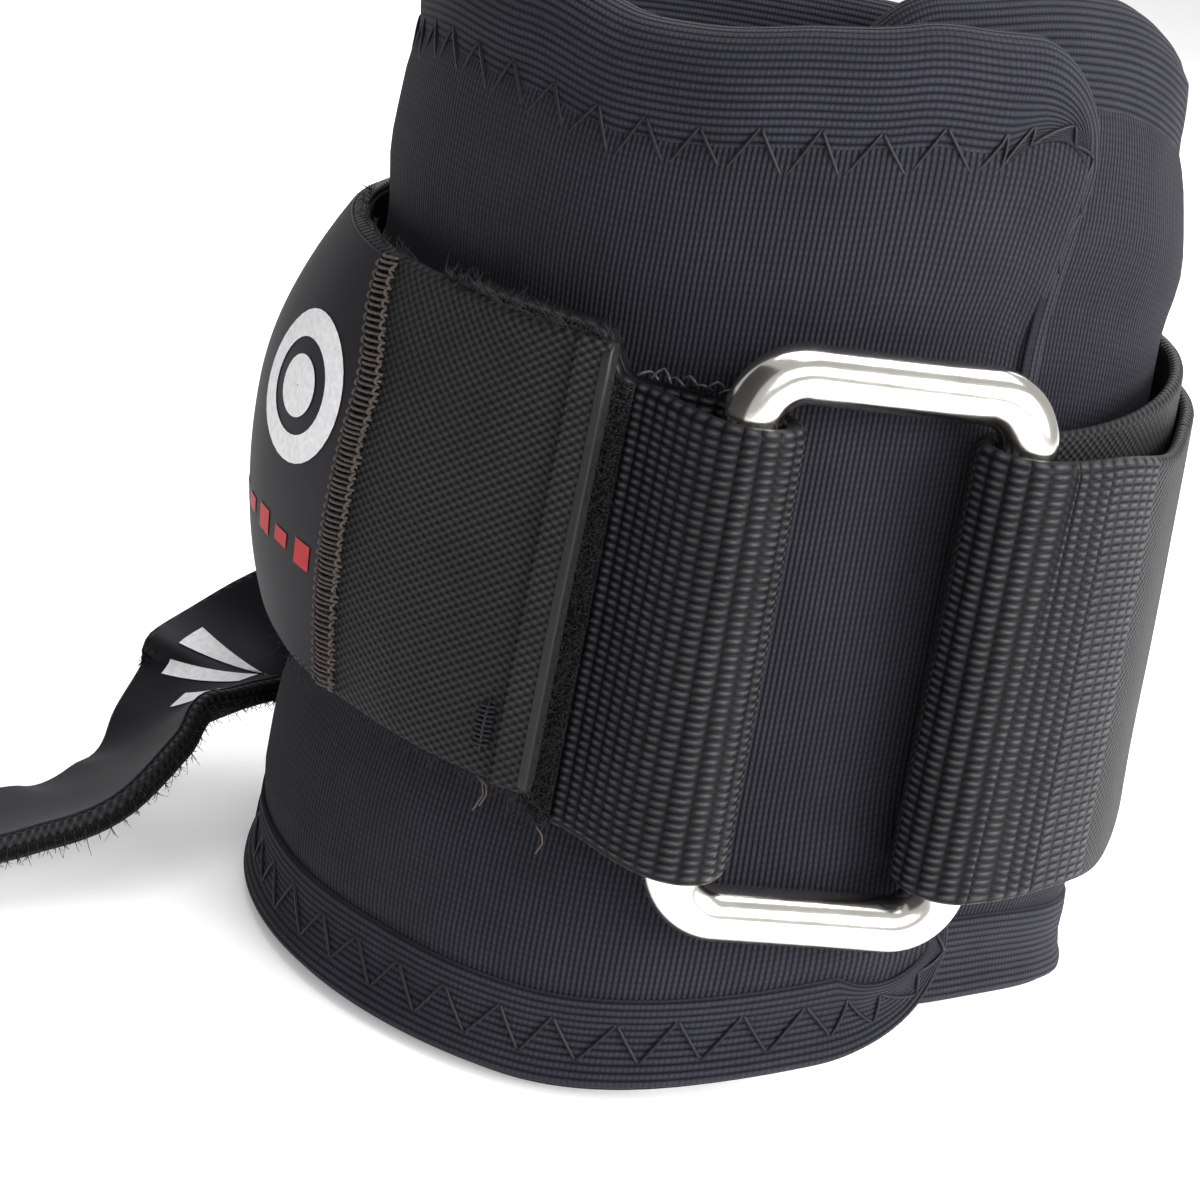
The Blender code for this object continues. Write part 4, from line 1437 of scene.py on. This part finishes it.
# (angle, height, wall distance) of its sewn root, then (place, direction across it) from the axis.
TAIL_ON_PAD = [
    (184.0, 0.0540, 0.0017),
    (199.0, 0.0410, 0.0018),
    (212.0, 0.0300, 0.0026),
    (222.0, 0.0225, 0.0046),
]
TAIL_LOOSE = [
    ((-0.0530, 0.0350, 0.0174), (0.05, 0.94, 0.35)),
    ((-0.0572, 0.0295, 0.0158), (0.06, 0.98, 0.12)),
    ((-0.0622, 0.0230, 0.0132), (0.06, 1.00, -0.02)),
    ((-0.0672, 0.0150, 0.0098), (0.08, 0.99, -0.12)),
    ((-0.0745, 0.0060, 0.0072), (0.07, 0.98, -0.18)),
    ((-0.0840, 0.0000, 0.0060), (0.02, 0.98, -0.18)),
    ((-0.0930, -0.0050, 0.0058), (0.01, 0.98, -0.16)),
    ((-0.1015, -0.0080, 0.0056), (0.01, 0.98, -0.14)),
]
TAIL_HINGE_POINT = 3
TAIL_PIECES = 8
HALF_TAIL = 0.0009
HALF_TAIL_PILE = 0.0009
TAIL_CURL = -0.0014
TAIL_RIPPLE = 0.0004
# first frame and the two edges of each white bar across the tail
TAIL_BARS = [(7, 0.20, 0.80), (13, 0.20, 0.80), (19, 0.20, 0.50)]


def curve_at(p, t):
    """A point of the curve that passes evenly through four points, between the middle two."""
    return 0.5 * (
        2.0 * p[1]
        + (p[2] - p[0]) * t
        + (2.0 * p[0] - 5.0 * p[1] + 4.0 * p[2] - p[3]) * t * t
        + (3.0 * p[1] - p[0] - 3.0 * p[2] + p[3]) * t * t * t
    )


def tail_frames():
    """(middle, across, outward, distance) frames along the tail."""
    keys = []
    for angle, z, wall in TAIL_ON_PAD:
        here = round_point(angle, z, wall)
        keys.append((here, (round_point(angle, z + TAIL_WIDTH, wall) - here).normalized()))
    keys += [(AXIS + Vector(place), Vector(edge).normalized()) for place, edge in TAIL_LOOSE]
    stations = []
    for i in range(len(keys) - 1):
        quad = [keys[max(i - 1, 0)], keys[i], keys[i + 1], keys[min(i + 2, len(keys) - 1)]]
        for k in range(TAIL_PIECES):
            stations.append([curve_at([q[n] for q in quad], k / TAIL_PIECES) for n in (0, 1)])
    stations.append(list(keys[-1]))
    frames = []
    distance = 0.0
    for i, (middle, edge) in enumerate(stations):
        before, after = stations[max(i - 1, 0)][0], stations[min(i + 1, len(stations) - 1)][0]
        travel = (after - before).normalized()
        across = (edge - travel * edge.dot(travel)).normalized()
        distance += (middle - before).length
        frames.append((middle, across, travel.cross(across).normalized(), distance))
    return frames


def tail_point(here, t, out):
    """A point of the tail in one of its frames: t runs across it from 0 to 1."""
    middle, across, outward, distance = here
    curl = TAIL_CURL * smooth((distance - TAIL_AT_HINGE) / 0.020)
    bend = curl * abs(2.0 * t - 1.0) ** 2.0 + TAIL_RIPPLE * sin(distance / 0.006) * (t - 0.5)
    return middle + across * (TAIL_WIDTH * (t - 0.5)) + outward * (out + bend)


def tail_layer(name, frames, low, high, out, half, finish):
    """A layer of the tail between two parts of its width."""
    width = TAIL_WIDTH * (high - low)
    rows = []
    for here in frames:
        def place(x, offset):
            return tail_point(here, low + (high - low) * x / width, out + offset)
        rows.append(strap_section(place, width, half))
    us = [here[3] / MM for here in frames]
    return strap_grid(name, rows, us, width, half, finish)


all_frames = tail_frames()
TAIL_HINGE = TAIL_HINGE_POINT * TAIL_PIECES
TAIL_AT_HINGE = all_frames[TAIL_HINGE][3]


def make_tail():
    """Webbing, pile, satin face, end fold and marks of the tail."""
    start, end = all_frames[TAIL_HINGE - 2][0], all_frames[TAIL_HINGE + 2][0]
    strip = tail_layer("tail_webbing", all_frames, 0.0, 1.0, 0.0, HALF_TAIL, "weave")
    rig.replaces(strip, "tail_root", "tail")
    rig.blend(strip, "cuff", "tail", start, end)
    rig.slot(strip, "webbing")
    loose = all_frames[TAIL_HINGE + 2:]
    pile = tail_layer("tail_pile", loose[:-1], 0.0, 1.0, HALF_TAIL + 0.0006, HALF_TAIL_PILE, "pile")
    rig.replaces(pile, "tail_tape")
    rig.slot(pile, "tape")
    satin = tail_layer("tail_satin", loose[:-5], 0.04, 0.96, -(HALF_TAIL + 0.0001), 0.0002, "satin")
    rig.replaces(satin, "tail_label")
    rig.slot(satin, "satin")
    fold = tail_layer("tail_end_fold", loose[-7:], 0.0, 1.0, -(HALF_TAIL + 0.0003), 0.0007, "weave")
    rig.replaces(fold, "tail_hem")
    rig.slot(fold, "webbing")
    for piece in (pile, satin, fold):
        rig.ride(piece, "tail")

    marks = []
    for first, low, high in TAIL_BARS:
        parts = [low + (high - low) * j / 8 for j in range(9)]
        rows = [
            [tail_point(here, part, -(HALF_TAIL + 0.00045)) for part in parts]
            for here in loose[first:first + 4]
        ]
        marks.append(grid(f"tail_mark_{first}", rows, list(range(4)), list(range(9)), "white"))
    mark = join("tail_mark_white", marks)
    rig.ride(mark, "tail")
    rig.slot(mark, "satin")

    fluff = []
    for _ in range(TAIL_FIBRES):
        here = random.choice(loose[:-1])
        t = random.choice((random.uniform(0.0, 1.0), 0.0, 1.0))
        root = tail_point(here, t, HALF_TAIL + random.uniform(0.0, 0.0014))
        fluff.append(hair(root, here[2], random.uniform(0.0004, 0.0012), 1.0))
    fuzz = threads("tail_fibres", fluff, TAIL_FIBRE, "fibre", sides=3, taper=True)
    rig.ride(fuzz, "tail")
    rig.slot(fuzz, "tape")


make_tail()
print("tail:", round(all_frames[-1][3] / MM), "mm long")

# %% [markdown]
# ## Floor, light and camera
#
# The cuff stands on a plain white floor that runs into a white background.  Large soft lights
# from the right, the front, above and behind keep the black cloth readable and give the ring its
# long soft reflections, and a black card keeps the left side dark.  The camera is close, looks
# down a little and is tilted.

# %% Stage and camera
CAMERA_DISTANCE, CAMERA_HEIGHT = 0.3294, 0.1542
CAMERA_ROUND, CAMERA_PITCH, CAMERA_YAW, CAMERA_ROLL = 17.05, 18.85, -2.37, -10.35
CAMERA_LENS = 82.7
AIM = (0.0, 0.0, 0.06)     # where the lights and the card point
FLOOR_SIZE, FLOOR_GLOW = 6.0, 0.28
FLOOR_GAP = 0.0002         # keeps the floor just under the cuff
CARD_SIZE, CARD_PLACE = 0.70, (-0.40, -0.10, 0.20)
WORLD_LIGHT = 0.5
# name, place, width and height, power
LIGHTS = [
    ("right_light", (0.62, -0.62, 0.42), (0.7, 0.5), 15.0),
    ("front_light", (0.10, -0.90, 0.50), (0.5, 0.4), 4.0),
    ("top_light", (0.15, 0.10, 0.95), (0.9, 0.9), 8.0),
    ("back_light", (0.3, 0.80, 0.50), (0.8, 0.5), 3.0),
]


def make_plane(name, size, place, colour, **values):
    """A square plane of the stage, with a matt material of one colour."""
    bpy.ops.mesh.primitive_plane_add(size=size, location=place)
    plane = bpy.context.object
    plane.name = name
    plane.data.materials.append(new_material(name + "_paint", Base_Color=colour + (1.0,), **values)[0])
    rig.stage(plane)
    return plane


def facing(place, axis):
    """The turn that points an axis from a place at the middle of the cuff."""
    return (Vector(AIM) - Vector(place)).to_track_quat(axis, "Y").to_euler()


def make_light(name, place, size, power):
    """A large soft light that points at the cuff."""
    lamp = bpy.data.lights.new(name, "AREA")
    lamp.shape = "RECTANGLE"
    lamp.size, lamp.size_y = size
    lamp.energy = power
    holder = bpy.data.objects.new(name, lamp)
    bpy.context.scene.collection.objects.link(holder)
    holder.location = place
    holder.rotation_euler = facing(place, "-Z")


def make_camera():
    """The camera, from its distance, height and turns."""
    round_turn, pitch = radians(CAMERA_ROUND), radians(CAMERA_PITCH)
    heading, roll = radians(CAMERA_ROUND + CAMERA_YAW), radians(CAMERA_ROLL)
    place = AXIS + Vector((
        -CAMERA_DISTANCE * sin(round_turn), -CAMERA_DISTANCE * cos(round_turn), CAMERA_HEIGHT
    ))
    forward = Vector((sin(heading) * cos(pitch), cos(heading) * cos(pitch), -sin(pitch)))
    right = Vector((cos(heading), -sin(heading), 0.0))
    up = right.cross(forward)
    image_right = right * cos(roll) - up * sin(roll)
    image_up = right * sin(roll) + up * cos(roll)
    data = bpy.data.cameras.new("camera")
    data.lens = CAMERA_LENS
    data.sensor_width = 36.0
    data.clip_start = 0.01
    camera = bpy.data.objects.new("camera", data)
    bpy.context.scene.collection.objects.link(camera)
    turn = Matrix((image_right, image_up, -forward)).transposed().to_4x4()
    camera.matrix_world = Matrix.Translation(place) @ turn
    bpy.context.scene.camera = camera


make_plane(
    "floor", FLOOR_SIZE, (0.0, 0.0, -FLOOR_GAP), (0.93, 0.93, 0.93), Roughness=0.8,
    Emission_Color=(1.0, 1.0, 1.0, 1.0), Emission_Strength=FLOOR_GLOW,
)
for light in LIGHTS:
    make_light(*light)
card = make_plane("left_card", CARD_SIZE, CARD_PLACE, (0.01, 0.01, 0.01), Roughness=0.9)
card.rotation_euler = facing(CARD_PLACE, "Z")
make_camera()
world = bpy.data.worlds.new("studio")
world.use_nodes = True
background = world.node_tree.nodes["Background"].inputs
background["Color"].default_value = (1.0, 1.0, 1.0, 1.0)
background["Strength"].default_value = WORLD_LIGHT
bpy.context.scene.world = world
bpy.context.scene.view_settings.view_transform = "Standard"
print("stage ready")

# %% Record the sizes
size_at_end = [list(corner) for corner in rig.bounds()]
with open("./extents.json", "w") as size_file:
    json.dump({"start": size_at_start, "end": size_at_end}, size_file)
print("finished size from", size_at_end[0], "to", size_at_end[1])
